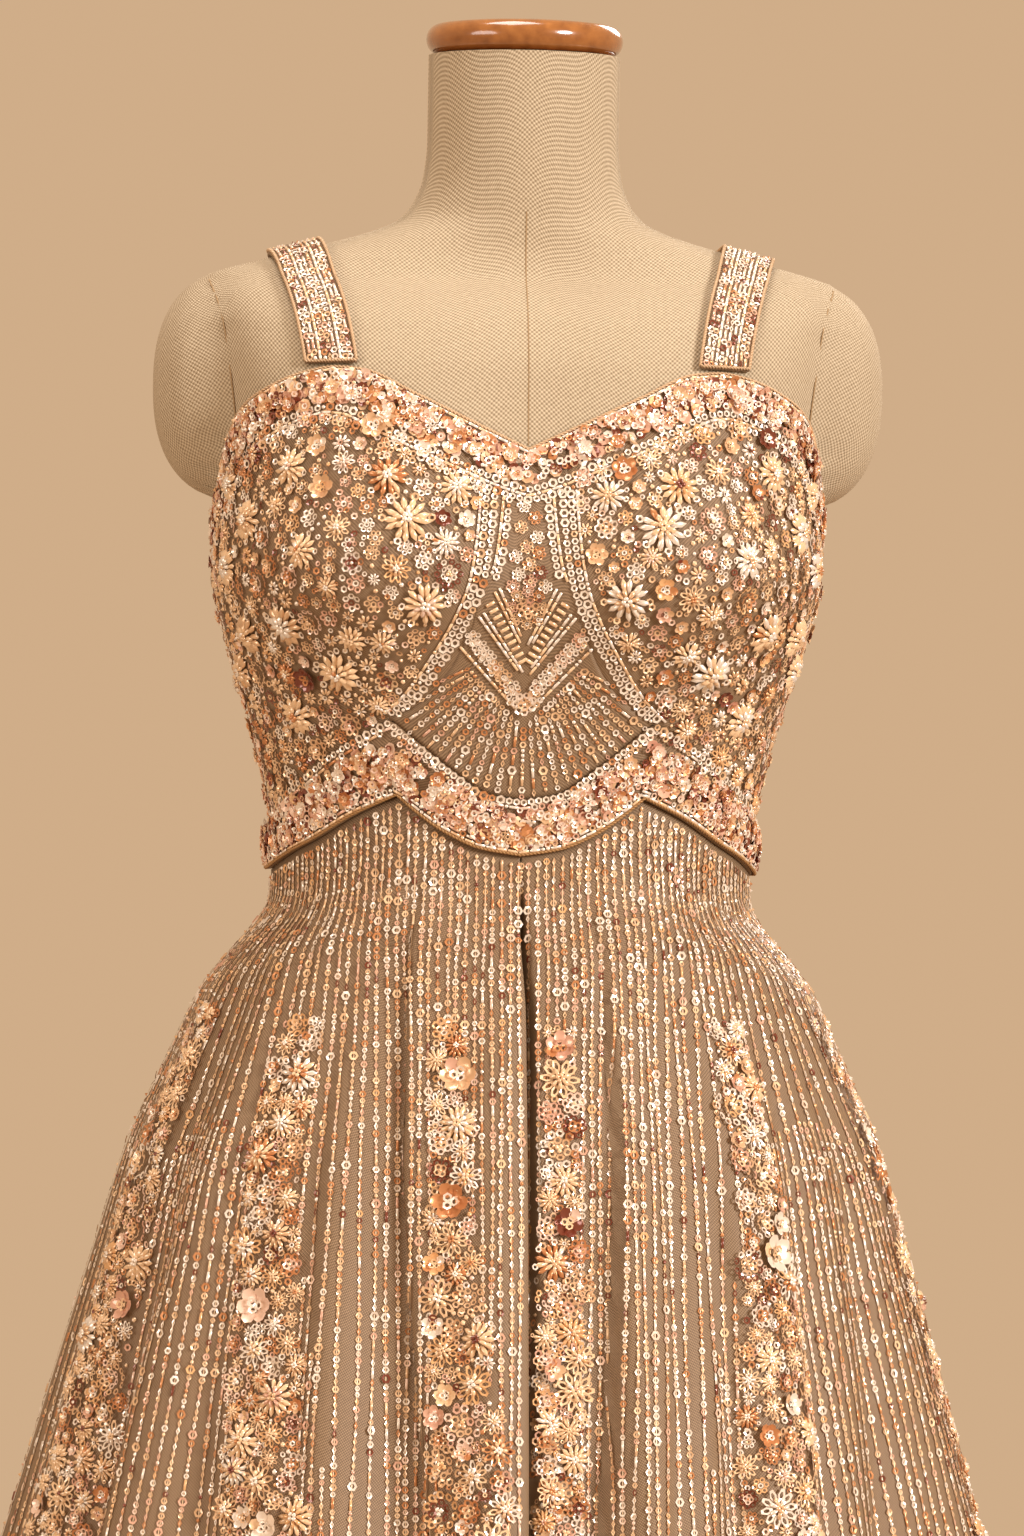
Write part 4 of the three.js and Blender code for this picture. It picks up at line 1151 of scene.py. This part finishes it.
def build_legs():
    """Two legs. Above the crotch each is open along the inside, where the two meet."""
    upper, lower = (SHARARA_TOP, CROTCH_BOTTOM, 22), (CROTCH_BOTTOM - 12, SHARARA_HEM, 36)
    levels = np.array([*np.linspace(*upper), *np.linspace(*lower)])
    step = LEG_STEP
    for side, name in SIDES:
        z = levels[:, None] + np.zeros(LEG_POINTS)
        rise = np.clip((z - CROTCH_BOTTOM) / (CROTCH_TOP - CROTCH_BOTTOM), 0, 1)
        opening = INSEAM_FLAT * rise**0.4
        t = mix(opening, 1 - opening, np.linspace(0, 1, LEG_POINTS)[None, :])
        outer = leg_point(side, t, z)
        closed = opening == 0
        before = leg_point(side, np.where(closed, (t - step) % 1, np.maximum(opening, t - step)), z)
        after = leg_point(side, np.where(closed, (t + step) % 1, np.minimum(1 - opening, t + step)), z)
        along = unit(after - before)
        inward = np.stack([-along[..., 1], along[..., 0], 0 * z], -1) * side
        piece = cloth_wall(f"sharara_leg_{name}_cloth", outer, outer + SHELL * inward, SATIN)
        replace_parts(piece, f"sharara_leg_{name}")


def build_waistband():
    band = WAISTBAND
    angle = np.radians(np.arange(0, 360, 3))[None, :]
    z = np.linspace(WAISTBAND_TOP, SHARARA_TOP + 2 * SEAM, 12)[:, None] + 0 * angle
    down, height = WAISTBAND_TOP - z, WAISTBAND_TOP - SHARARA_TOP
    gathers = band["gather"] * np.sin(angle * band["gathers"]) * np.sin(np.pi * down / height)
    form = form_radius(angle, z)
    outer, inner = (polar(angle, form + out, z) for out in (band["outer"] + gathers, band["inner"]))
    piece = cloth_wall("sharara_waistband_cloth", outer, inner, SATIN, closed=True)
    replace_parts(piece, "sharara_waistband")


# Straps. A place on one is (across in mm, share of the way from front to back).
# Its cloth lies on the form where rays from a pivot inside it, at degrees from front to back, come out.
STRAP = {"half": 13.5, "pivot": 1283, "face": 3.6, "thickness": 1.9, "front": 6.2, "back": 213.5}
STRAP_DISTANCE = curve([(0, 103), (0.42, 123), (1, 86)])
STRAP_ENDS = (("front", 0.004), ("back", 0.996))
RAY_LENGTH, RAY_HALVINGS = 200.0, 34
STRAP_ROWS, STRAP_ROWS_REACH, THIN_ROWS = 9, 10.4, (2, 6)
STRAP_CORD = (1.0, 3.4)


def strap_point(side, across, share, lift):
    across, share = arrays(across, share)
    x = side * STRAP_DISTANCE(share) + across
    turn = np.radians(mix(STRAP["front"], STRAP["back"], share))
    dy, dz = -np.cos(turn), np.sin(turn)

    def inside(ray):
        y, z = ray * dy, STRAP["pivot"] + ray * dz
        form = form_radius(np.arctan2(x, -y), np.minimum(z, NECK_TOP))
        return (z < NECK_TOP) & (np.hypot(x, y) < form)

    ray = halved(np.zeros(x.shape), np.full(x.shape, RAY_LENGTH), inside, RAY_HALVINGS) + lift
    return np.stack([x, ray * dy, STRAP["pivot"] + ray * dz], -1)


def strap_line(side, across, lift=0.0):
    share = np.linspace(STRAP_ENDS[0][1], STRAP_ENDS[1][1], 160)
    points, beside = (strap_point(side, across + step, share, STRAP["face"] + lift) for step in (0, 1))
    return points, unit(np.cross(beside - points, np.gradient(points, axis=0)))


def build_straps():
    beading = Beading()
    face, edge = STRAP["face"], STRAP["half"] - 0.3
    for side, name in SIDES:
        across = np.linspace(-STRAP["half"], STRAP["half"], 7)[None, :]
        share = np.linspace(0, 1, 70)[:, None]
        faces = (face, face - STRAP["thickness"])
        outer, inner = (strap_point(side, across, share, lift) for lift in faces)
        piece = cloth_wall(f"strap_{name}_cloth", outer, inner, NET)
        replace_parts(piece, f"strap_{name}")
        for row, across in enumerate(np.linspace(-STRAP_ROWS_REACH, STRAP_ROWS_REACH, STRAP_ROWS)):
            style = "thin" if row in THIN_ROWS else "strap"
            add_chain(beading, strap_line(side, across), style, 0.2)
        for place, across in (("inner", -side * edge), ("outer", side * edge)):
            line, _ = strap_line(side, across, 0.6)
            twisted_cord(f"strap_{name}_{place}_cord", line, *STRAP_CORD, PALE_CORD)
        for place, share in STRAP_ENDS:
            line = strap_point(side, np.linspace(-edge, edge, 14), share, face + 0.8)
            twisted_cord(f"strap_{name}_{place}_cord", line, *STRAP_CORD, PALE_CORD)
    beading.build("strap_beading")


# How a border is packed: shape, mm² for each one, least and most radius, least and most height over
# the cloth, and shares of the colours. One small flower takes FLOWER_AREA mm².
PACKING = [
    ("sequin", 15, 2.2, 3.9, 0.3, 1.5, [15, 17, 25, 15, 11, 17, 0, 0]),
    ("ring", 18, 1.5, 2.3, 1.7, 2.6, [56, 16, 10, 6, 8, 4, 0, 0]),
    ("bead", 60, 1.0, 1.5, 2.0, 3.0, [40, 20, 0, 0, 0, 10, 20, 10]),
]
FLOWER_AREA = 170
EDGE_POINTS, CHAIN_POINTS = 1500, 600


class Edge:
    """A line round the bodice, measured in mm along it and in mm to its lower side."""

    def __init__(self, edge, start, end, radius):
        self.degrees = np.linspace(start, end, EDGE_POINTS)
        self.z = edge(self.degrees)
        self.radius = radius
        points = polar(np.radians(self.degrees), radius(np.radians(self.degrees), self.z), self.z)
        self.along = lengths(points)
        level = points * [1, 1, 0]
        tangent = [self.smoothed(np.gradient(v)) for v in (lengths(level), self.z)]
        self.down = np.array([tangent[1], -tangent[0]]) / np.hypot(*tangent)
        self.length = self.along[-1]

    @staticmethod
    def smoothed(values, reach=45):
        padded = np.pad(values, reach, mode="edge")
        return np.convolve(padded, np.ones(2 * reach + 1) / (2 * reach + 1), "valid")

    def place(self, along, below):
        """Degrees and z of a place below the line."""
        d, z, dx, dz = (np.interp(along, self.along, v) for v in (self.degrees, self.z, *self.down))
        return d + np.degrees(dx * below / self.radius(np.radians(d), z)), z + dz * below

    def chain(self, beading, below, style, out=0.5):
        line = line_on(self.radius, *self.place(np.linspace(0, self.length, CHAIN_POINTS), below))
        add_chain(beading, line, style, out)

    def fill(self, beading, top, foot, sparse):
        """A band packed with overlapping sequins, with rings and small flowers on top."""
        area = self.length * (foot - top)
        for shape, each, least, most, low, high, shares in PACKING:
            count = int(area / (each * sparse))
            below = random.uniform(top + 0.7 * least, foot - 0.7 * least, count)
            spots = spots_on(self.radius, *self.place(random.uniform(0, self.length, count), below))
            size = random.uniform(least, most, count)
            lying = spots.moved(out=random.uniform(low, high, count)).shaken(22)
            beading.add(shape, lying, size, pick(count, shares))
        count = int(area / FLOWER_AREA)
        along, below = random.uniform(0, self.length, count), random.uniform(top + 4, foot - 4, count)
        spots = spots_on(self.radius, *self.place(along, below)).moved(out=1.4)
        half = count // 2
        add_flowers(beading, "posy", spots[:half], 4.2, "warm")
        add_flowers(beading, "blossom", spots[half:], 4.6, "warm")


# The borders' stretches, the front first: degrees from and to, the neck border's width, and how much
# sparser than the front's the neck border and the band are packed.
STRETCHES = [(-SIDE, SIDE, 20, 1.0, 1.0), (-180, -SIDE, 16, 1.5, 1.4), (SIDE, 180, 16, 1.5, 1.4)]
# Lines of beads: mm below the neck border, or below an edge of the band, and the kind.
NECK_CHAINS = [(1.5, "bright"), (4.4, "thin"), (7.0, "bright")]
BAND_CHAINS = [
    (band_top, 1.4, "bright"),
    (band_top, 4.4, "strap"),
    (band_foot, -4.4, "strap"),
    (band_foot, -2.2, "thin"),
]
BAND_CORD, NECK_CORD = (1.05, 4.0), (0.95, 4.4)


def build_neck_border():
    beading = Beading()
    for start, end, foot, sparse, _ in STRETCHES:
        neck = Edge(neck_edge, start, end, bodice_radius)
        neck.fill(beading, 1.5, foot, sparse)
        neck.chain(beading, 2.0, "thin")
        for below, style in NECK_CHAINS:
            neck.chain(beading, foot + below, style)
    beading.build("neckline_border_beading")


def band_middle(degrees):
    return mix(band_top(degrees), band_foot(degrees), 0.5)


def build_band_border():
    beading = Beading()
    for start, end, _, _, sparse in STRETCHES:
        Edge(band_middle, start, end, band_radius).fill(beading, -11, 12, sparse)
    for edge, below, style in BAND_CHAINS:
        Edge(edge, -180, 180, band_radius).chain(beading, below, style, 1.2)
    beading.build("underbust_band_beading")


def build_edge_cords():
    degrees = np.linspace(-179.8, 179.8, 900)
    angle = np.radians(degrees)
    z = band_foot(degrees) + 0.6
    line = polar(angle, bodice_radius(angle, z) + 3.0, z)
    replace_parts(twisted_cord("band_piping_cord", line, *BAND_CORD, CORD), "band_piping")
    z = neck_edge(degrees) - 0.3
    line = polar(angle, bodice_radius(angle, z) + 0.4, z)
    twisted_cord("neck_edge_cord", line, *NECK_CORD, PALE_CORD)


# The bodice's centre panel, as seen from the front: (x from the middle, z) for its right half.
OUTER_LINE = [(17.5, 1229), (19.5, 1205), (23, 1182), (30, 1163), (42, 1141), (56, 1120), (68, 1108)]
INNER_LINE = [(10, 1225), (12, 1206), (14.5, 1190), (18, 1180)]
# The panel's lines of beads: the line, how far outward it is shifted, and the kind.
PANEL_LINES = [
    (OUTER_LINE, 0, "bright"),
    (OUTER_LINE, 4.3, "bright"),
    (OUTER_LINE, 7.3, "thin"),
    (INNER_LINE, 0, "bright"),
    (INNER_LINE, 3, "thin"),
]
# Thin chevrons: how far out they start, their height there, and their height in the middle.
CHEVRONS = [
    (15, 1178, 1148), (17.4, 1176, 1144.5), (23, 1165, 1133), (25.4, 1163, 1130.5), (34.5, 1147, 1110.5),
]  # fmt: skip
# The fan's rays spread from a point behind the chevrons. They start just past the lowest one, on a
# line at a distance from that point, whose normal leans outward.
FAN = {"centre": 1150, "rays": 29, "spread": 64, "distance": 29, "normal": (0.741, 0.671), "gap": 1.5}
MEDALLION = 1168
# Slanted rows beside the chevrons, each from its outer end to its inner end: a ladder of short bars, a
# thick chevron of little flowers, and loose rings among them.
LADDER = ((20.2, 1170.5), (1.2, 1139.2))
LADDER_BAR = {"count": 10, "lean": 57, "size": (0.95, 2.5, 0.95), "colours": [0, 30, 0, 0, 0, 0, 70, 0]}
THICK_CHEVRON = ((29, 1153), (5, 1124))
LOOSE_CHEVRON = ((30, 1152), (3, 1121))
LOOSE_RINGS = {"count": 40, "reach": 6, "size": 1.5, "colours": [50, 30, 0, 10, 0, 0, 10, 0]}
# The little flowers above the medallion.
UPPER_FLOWERS = [
    (-2.5, 1220), (3.5, 1214), (-4, 1209), (4.5, 1204), (-1, 1199), (5.5, 1196), (-6.5, 1194),
    (0.5, 1190), (-5, 1185), (6.5, 1186), (1, 1181.5), (-8, 1179), (9, 1179),
]  # fmt: skip


def outer_line(z):
    x, level = np.array(OUTER_LINE[::-1], float).T
    return np.interp(z, level, x)


def front_degrees(x, z):
    """Degrees of a place at x on the bodice's front, by repeated correction."""
    angle = 0 * x
    for _ in range(14):
        angle = np.arcsin(np.clip(x / bodice_radius(angle, z), -0.98, 0.98))
    return np.degrees(angle)


def front_chain(beading, points, style, out=0.5):
    flat = np.array(points, float)
    along = lengths(flat)
    dense = np.linspace(0, along[-1], max(12, int(along[-1] / 1.5)))
    x, z = (curve(np.stack([along, v], -1))(dense) for v in flat.T)
    add_chain(beading, line_on(bodice_radius, front_degrees(x, z), z), style, out)


def front_spots(x, z, out=0.0):
    x, z = arrays(x, z)
    return spots_on(bodice_radius, front_degrees(x, z), z).moved(out=out)


def add_fan(beading):
    """Rays that spread from the chevron down to the band."""
    side, down = FAN["normal"]
    for turn in np.radians(np.linspace(-FAN["spread"], FAN["spread"], FAN["rays"])):
        lean = abs(turn)
        start = FAN["distance"] / (side * math.sin(lean) + down * math.cos(lean)) + FAN["gap"]
        reach = np.arange(start, 140, 1.0)
        x, z = reach * math.sin(turn), FAN["centre"] - reach * math.cos(turn)
        inside = (z > band_top(front_degrees(x, z)) + 0.5) & (np.abs(x) < outer_line(z) - 3)
        stop = int(np.argmin(inside))
        if stop > 6:
            kept = np.linspace(0, stop, 2 + stop // 6).astype(int)
            front_chain(beading, np.stack([x, z], -1)[kept], "fan", 0.3)


def slanted(side, ends, share):
    (x, z), (inner_x, inner_z) = ends
    return side * mix(x, inner_x, share), mix(z, inner_z, share)


def add_chevrons(beading, side):
    """One side's thin lines, ladder, little flowers and loose rings."""
    for reach, top, low in CHEVRONS:
        front_chain(beading, [(side * reach, top), (side * 0.6, low)], "thin", 0.2)
    bar = LADDER_BAR
    bars = front_spots(*slanted(side, LADDER, np.linspace(0.04, 0.98, bar["count"])), 0.9)
    colours = pick(bar["count"], bar["colours"])
    beading.add("bugle", bars.turned(side * math.radians(bar["lean"])), bar["size"], colours)
    flowers = front_spots(*slanted(side, THICK_CHEVRON, np.linspace(0.04, 0.92, 6)))
    add_flowers(beading, "posy", flowers, 4.8, "silver")
    rings = LOOSE_RINGS
    x, z = slanted(side, LOOSE_CHEVRON, random.uniform(0, 1, rings["count"]))
    z = z + random.uniform(-rings["reach"], rings["reach"], rings["count"])
    colours = pick(rings["count"], rings["colours"])
    beading.add("ring", front_spots(x, z, 0.8).shaken(14), rings["size"], colours)


def build_centre_panel():
    beading = Beading()
    for side in (-1, 1):
        for line, shift, style in PANEL_LINES:
            front_chain(beading, [(side * (x + shift), z) for x, z in line], style)
        add_chevrons(beading, side)
    add_flowers(beading, "posy", front_spots([-5, 5], [1120, 1120], 0.4), 5, "silver")
    add_flowers(beading, "double", front_spots([0.0], [1118.0], 1.2), 7, "silver")
    turn = np.radians(np.arange(0, 360, 45))
    ring = front_spots(8 * np.sin(turn), MEDALLION + 8.5 * np.cos(turn))
    add_flowers(beading, "posy", ring, 3.4, "rose")
    add_flowers(beading, "double", front_spots([0.0], [MEDALLION], 0.4), 6.5, "rose")
    add_flowers(beading, "posy", front_spots(*np.array(UPPER_FLOWERS).T), 3.9, "pale")
    add_fan(beading)
    beading.build("centre_panel_beading")


# Large daisies on a cup: degrees, z and radius.
CUP_DAISIES = [
    (26, 1212, 13.5), (22.2, 1169, 12.5), (44.1, 1132, 13), (53, 1156, 13), (31.2, 1234, 12),
    (45.4, 1195, 10.5), (38, 1150, 9), (52, 1238, 11), (61.9, 1210, 12), (66.8, 1150, 12),
    (59.4, 1108, 11.5), (70, 1185, 11), (76, 1130, 11), (17.2, 1229, 10), (70, 1228, 9),
]  # fmt: skip
# How far the right cup's daisies are off the left cup's, in degrees and mm.
DAISY_SHIFT = (1.5, 3)
# Smaller flowers: radius and how many.
CUP_FLOWERS = [(8, 14), (6.8, 24), (5.4, 60), (4.4, 110), (3.6, 120), (2.0, 330), (1.5, 260)]
BACK_FLOWERS = [(10, 10), (7, 22), (5.6, 30), (4.6, 60), (3.8, 40), (2.1, 60)]
# How many places are tried for each size, and the least distance between two flowers as a share of
# their radii together.
CUP_THROWS, BACK_THROWS, COLUMN_THROWS = (9000, 0.82), (1800, 0.92), (2400, 0.74)
# The ranges of degrees and z in which the flowers are thrown.
CUP_RANGE, BACK_RANGE = ((9, 89), (1050, 1270)), ((91.5, 178.5), (1050, 1190))
# Where the cup's outer border starts: z and degrees.
CUP_BORDER = ([1215, 1235, 1250, 1264], [90, 68, 64, 58])
ROUND_MM = 2.3  # Millimetres round a cup for each degree, for scattering.
FRONT_ROUND = 118  # The radius of the bodice's front beside the centre panel.


def cup_region(count):
    """Random places on a cup, in mm round its side and up, inside its borders."""
    degrees, z = (random.uniform(*limits, count) for limits in CUP_RANGE)
    beyond = np.degrees(np.arcsin(np.clip((outer_line(z) + 7) / FRONT_ROUND, -1, 1)))
    border = np.interp(z, *CUP_BORDER)
    clear = (z > band_top(degrees) + 3.5) & (z < neck_edge(degrees) - 26)
    clear &= (degrees > beyond) & (degrees < border)
    return np.stack([degrees * ROUND_MM, z], -1)[clear]


def back_region(count):
    degrees, z = (random.uniform(*limits, count) for limits in BACK_RANGE)
    return np.stack([degrees * ROUND_MM, z], -1)[z > band_top(degrees) + 4]


def build_bodice_flowers():
    for side, name in SIDES:
        beading = Beading()
        daisies = np.array(CUP_DAISIES, float)
        if side > 0:
            daisies[:, :2] += random.normal(0, DAISY_SHIFT, (len(daisies), 2))
        spots = spots_on(bodice_radius, side * daisies[:, 0], daisies[:, 1])
        add_flowers(beading, "daisy", spots, daisies[:, 2], "pale")
        taken = daisies * [ROUND_MM, 1, 0.95]
        across, z, size = scattered(cup_region, CUP_FLOWERS, *CUP_THROWS, taken).T
        degrees = across / ROUND_MM
        warm = 0.15 + 0.85 * ease(30, 75, degrees)
        add_field(beading, spots_on(bodice_radius, side * degrees, z), size, warm)
        beading.build(f"bodice_cup_{name}_beading")
    beading = Beading()
    for side in (-1, 1):
        across, z, size = scattered(back_region, BACK_FLOWERS, *BACK_THROWS).T
        add_field(beading, spots_on(bodice_radius, side * across / ROUND_MM, z), size, 0.4)
    beading.build("bodice_back_beading")


# The skirt's rows run straight down near its centre lines and fan out towards the side seams.
FRONT_PITCH, BACK_PITCH = 4.75, 6.8
ROW_TOP, ROW_LOW, ROW_POINTS = 1066, KURTI_HEM + 3, 480
FLOW_Z = np.linspace(KURTI_HEM, 1080, 65)
FLOW_TURN = np.radians(np.linspace(0, 90, 181))
FLOW_TOP = 1000
# The mm from a centre line at FLOW_TOP between which the rows go over from straight to fanned out.
FLOW_FAN = (60, 165)
# Between two rows, one more is sewn where they have spread to more than this share of the pitch.
WIDE_SPACING = 1.9
SHORTEST_RUN = 12
# The thread under a row: every how many points it bends, its width, and how far it lies off the cloth.
THREAD_EVERY, THREAD_WIDTH, THREAD_OUT = 12, 0.6, 0.4


def flow_arcs(back):
    """Distances round from the centre line to each turn, one row for each level."""
    turn, z = np.meshgrid(np.pi - FLOW_TURN if back else FLOW_TURN, FLOW_Z)
    return lengths(polar(turn, section_radius(SKIRT, turn, z), z), 1)


def row_arc(start, arcs):
    """How far from the centre line a row lies at each level, for its distance at FLOW_TOP."""
    top = np.interp(FLOW_TOP, FLOW_Z, arcs[:, -1])
    return start * (1 + (arcs[:, -1] / top - 1) * ease(*FLOW_FAN, start))


def add_strip(parts, line):
    """A flat thread along (points, outward directions)."""
    points, normals = (values[::THREAD_EVERY] for values in line)
    if len(points) < 2:
        return
    side = unit(np.cross(np.gradient(points, axis=0), normals)) * THREAD_WIDTH / 2
    middle = points + THREAD_OUT * normals
    points = np.stack([middle - side, middle + side], 1).reshape(-1, 3)
    parts.append((points, grid_faces(len(middle), 2), 0, True))


def skirt_row(side, back, number, arcs, half):
    """A row's degrees and heights, and at which of them it is sewn. Odd rows are the ones between."""
    start = 0.6 + number * half
    turn = [np.interp(arc, level, FLOW_TURN) for arc, level in zip(row_arc(start, arcs), arcs)]
    z = np.linspace(ROW_TOP, ROW_LOW, ROW_POINTS)
    degrees = np.degrees(np.interp(z, FLOW_Z, turn))
    degrees = side * (180 - degrees if back else degrees + 0.2 * np.sin(z / 37 + number))
    sewn = (z < band_foot(degrees) - 3) & (column_cover(degrees, z) < 0.5)
    if number % 2:
        spacing = row_arc(start + half, arcs) - row_arc(start - half, arcs)
        sewn &= np.interp(z, FLOW_Z, spacing) > 2 * WIDE_SPACING * half
    return degrees, z, sewn


def runs_of(chosen):
    """Lists of neighbours that are all chosen, without the shortest lists."""
    changes = np.flatnonzero(np.diff(chosen.astype(int))) + 1
    runs = np.split(np.arange(len(chosen)), changes)
    return [run for run in runs if len(run) > SHORTEST_RUN and chosen[run[0]]]


def build_skirt_rows():
    for back in (False, True):
        arcs = flow_arcs(back)
        half = (BACK_PITCH if back else FRONT_PITCH) / 2
        rows = int(np.interp(FLOW_TOP, FLOW_Z, arcs[:, -1]) / half)
        for side, name in SIDES:
            beading, threads = Beading(), []
            radius = tucked_radius if side > 0 and not back else skirt_radius
            for number in range(rows):
                degrees, z, sewn = skirt_row(side, back, number, arcs, half)
                for run in runs_of(sewn):
                    line = line_on(radius, degrees[run], z[run])
                    add_chain(beading, line, "rows", 0.3)
                    add_strip(threads, line)
            place = f"{'back' if back else 'front'}_{name}"
            beading.build(f"skirt_{place}_rows")
            make_object(f"skirt_{place}_threads", threads, [PALE_THREAD])


def column_region(column, count):
    z = random.uniform(KURTI_HEM + 8, GUIDE_TOP - 4, count)
    return np.stack([column_half(column, z) * random.uniform(-1, 1, count), z], -1)


# A column's flowers: radius and how many.
FRONT_FLOWERS = [(11, 14), (9, 20), (7, 50), (5.6, 60), (4.6, 80), (3.8, 80), (2.1, 170), (1.6, 100)]
REAR_FLOWERS = [(11, 11), (9, 12), (7, 30), (5.6, 24), (4.6, 30), (2.1, 60)]


def build_columns():
    groups = {"front_left": Beading(), "front_right": Beading(), "back": Beading()}
    for column in FLOWER_COLUMNS:
        front = abs(column[0]) < SIDE
        group = groups["back" if not front else "front_left" if column[0] < 0 else "front_right"]
        radius = tucked_radius if front and column[0] > 0 else skirt_radius
        sizes = FRONT_FLOWERS if front else REAR_FLOWERS
        places = scattered(lambda count: column_region(column, count), sizes, *COLUMN_THROWS)
        across, z, size = places.T
        reach = section_radius(SKIRT, np.radians(column_place(column, z)), z)
        degrees = column_place(column, z) + np.degrees(across / reach)
        if column == LEFT_OF_SLIT:
            degrees = np.minimum(degrees, left_edge(z) - np.degrees((size + 4) / reach))
        if column == RIGHT_OF_SLIT:
            degrees = np.maximum(degrees, left_edge(z) + np.degrees((size + 2) / reach))
        add_field(group, spots_on(radius, degrees, z).moved(out=0.4), size, 0.3)
    for name, group in groups.items():
        group.build(f"flower_columns_{name}")


# The setting: the sky's and the floor's colours.
SKY, FLOOR_COLOUR = (0.63, 0.42, 0.25, 1), (0.46, 0.36, 0.25)
# The floor's corners and the point that the lights face, in metres.
FLOOR = [(-40, -40, 0), (40, -40, 0), (40, 3.2, 0), (-40, 3.2, 0)]
LIT_POINT = (0, 0, 1.05)
# Lights: name, kind, place, width (radians for a sun, metres for an area), strength and colour.
LIGHTS = [
    ("key", "SUN", (3.0, -2.9, 2.4), 0.30, 3.1, (1.0, 0.98, 0.96)),
    ("fill", "SUN", (-2.8, -2.2, 1.3), 0.55, 1.25, (1.0, 0.95, 0.90)),
    ("rear", "SUN", (1.8, 3.2, 2.6), 0.40, 1.0, (1.0, 0.96, 0.92)),
    ("top", "AREA", (-0.3, -0.2, 3.5), 1.1, 34, (1.0, 0.98, 0.96)),
]


def add_setting():
    """A plain pale floor, soft lights and a plain warm sky, which is what stands behind the form."""
    mesh = bpy.data.meshes.new("floor")
    mesh.from_pydata(FLOOR, [], [(0, 1, 2, 3)])
    mesh.materials.append(new_material("floor", FLOOR_COLOUR, 0.95))
    floor = bpy.data.objects.new("floor", mesh)
    bpy.context.collection.objects.link(floor)
    for name, kind, place, size, power, colour in LIGHTS:
        light = bpy.data.lights.new(name, kind)
        setattr(light, "angle" if kind == "SUN" else "size", size)
        light.energy = power
        light.color = colour
        place_object(name, light, place, np.array(LIT_POINT) - place)
    world = bpy.data.worlds.new("warm_sky")
    world.use_nodes = True
    sky = world.node_tree.nodes["Background"].inputs
    sky["Color"].default_value = SKY
    sky["Strength"].default_value = 1.0
    bpy.context.scene.world = world
    bpy.context.scene.view_settings.view_transform = "Standard"


build_form()
build_form_seams()
build_neck_cap()
build_stand()
build_bodice()
build_band()
build_skirt()
build_legs()
build_waistband()
build_straps()
build_neck_border()
build_band_border()
build_edge_cords()
build_centre_panel()
build_bodice_flowers()
build_skirt_rows()
build_columns()
add_setting()
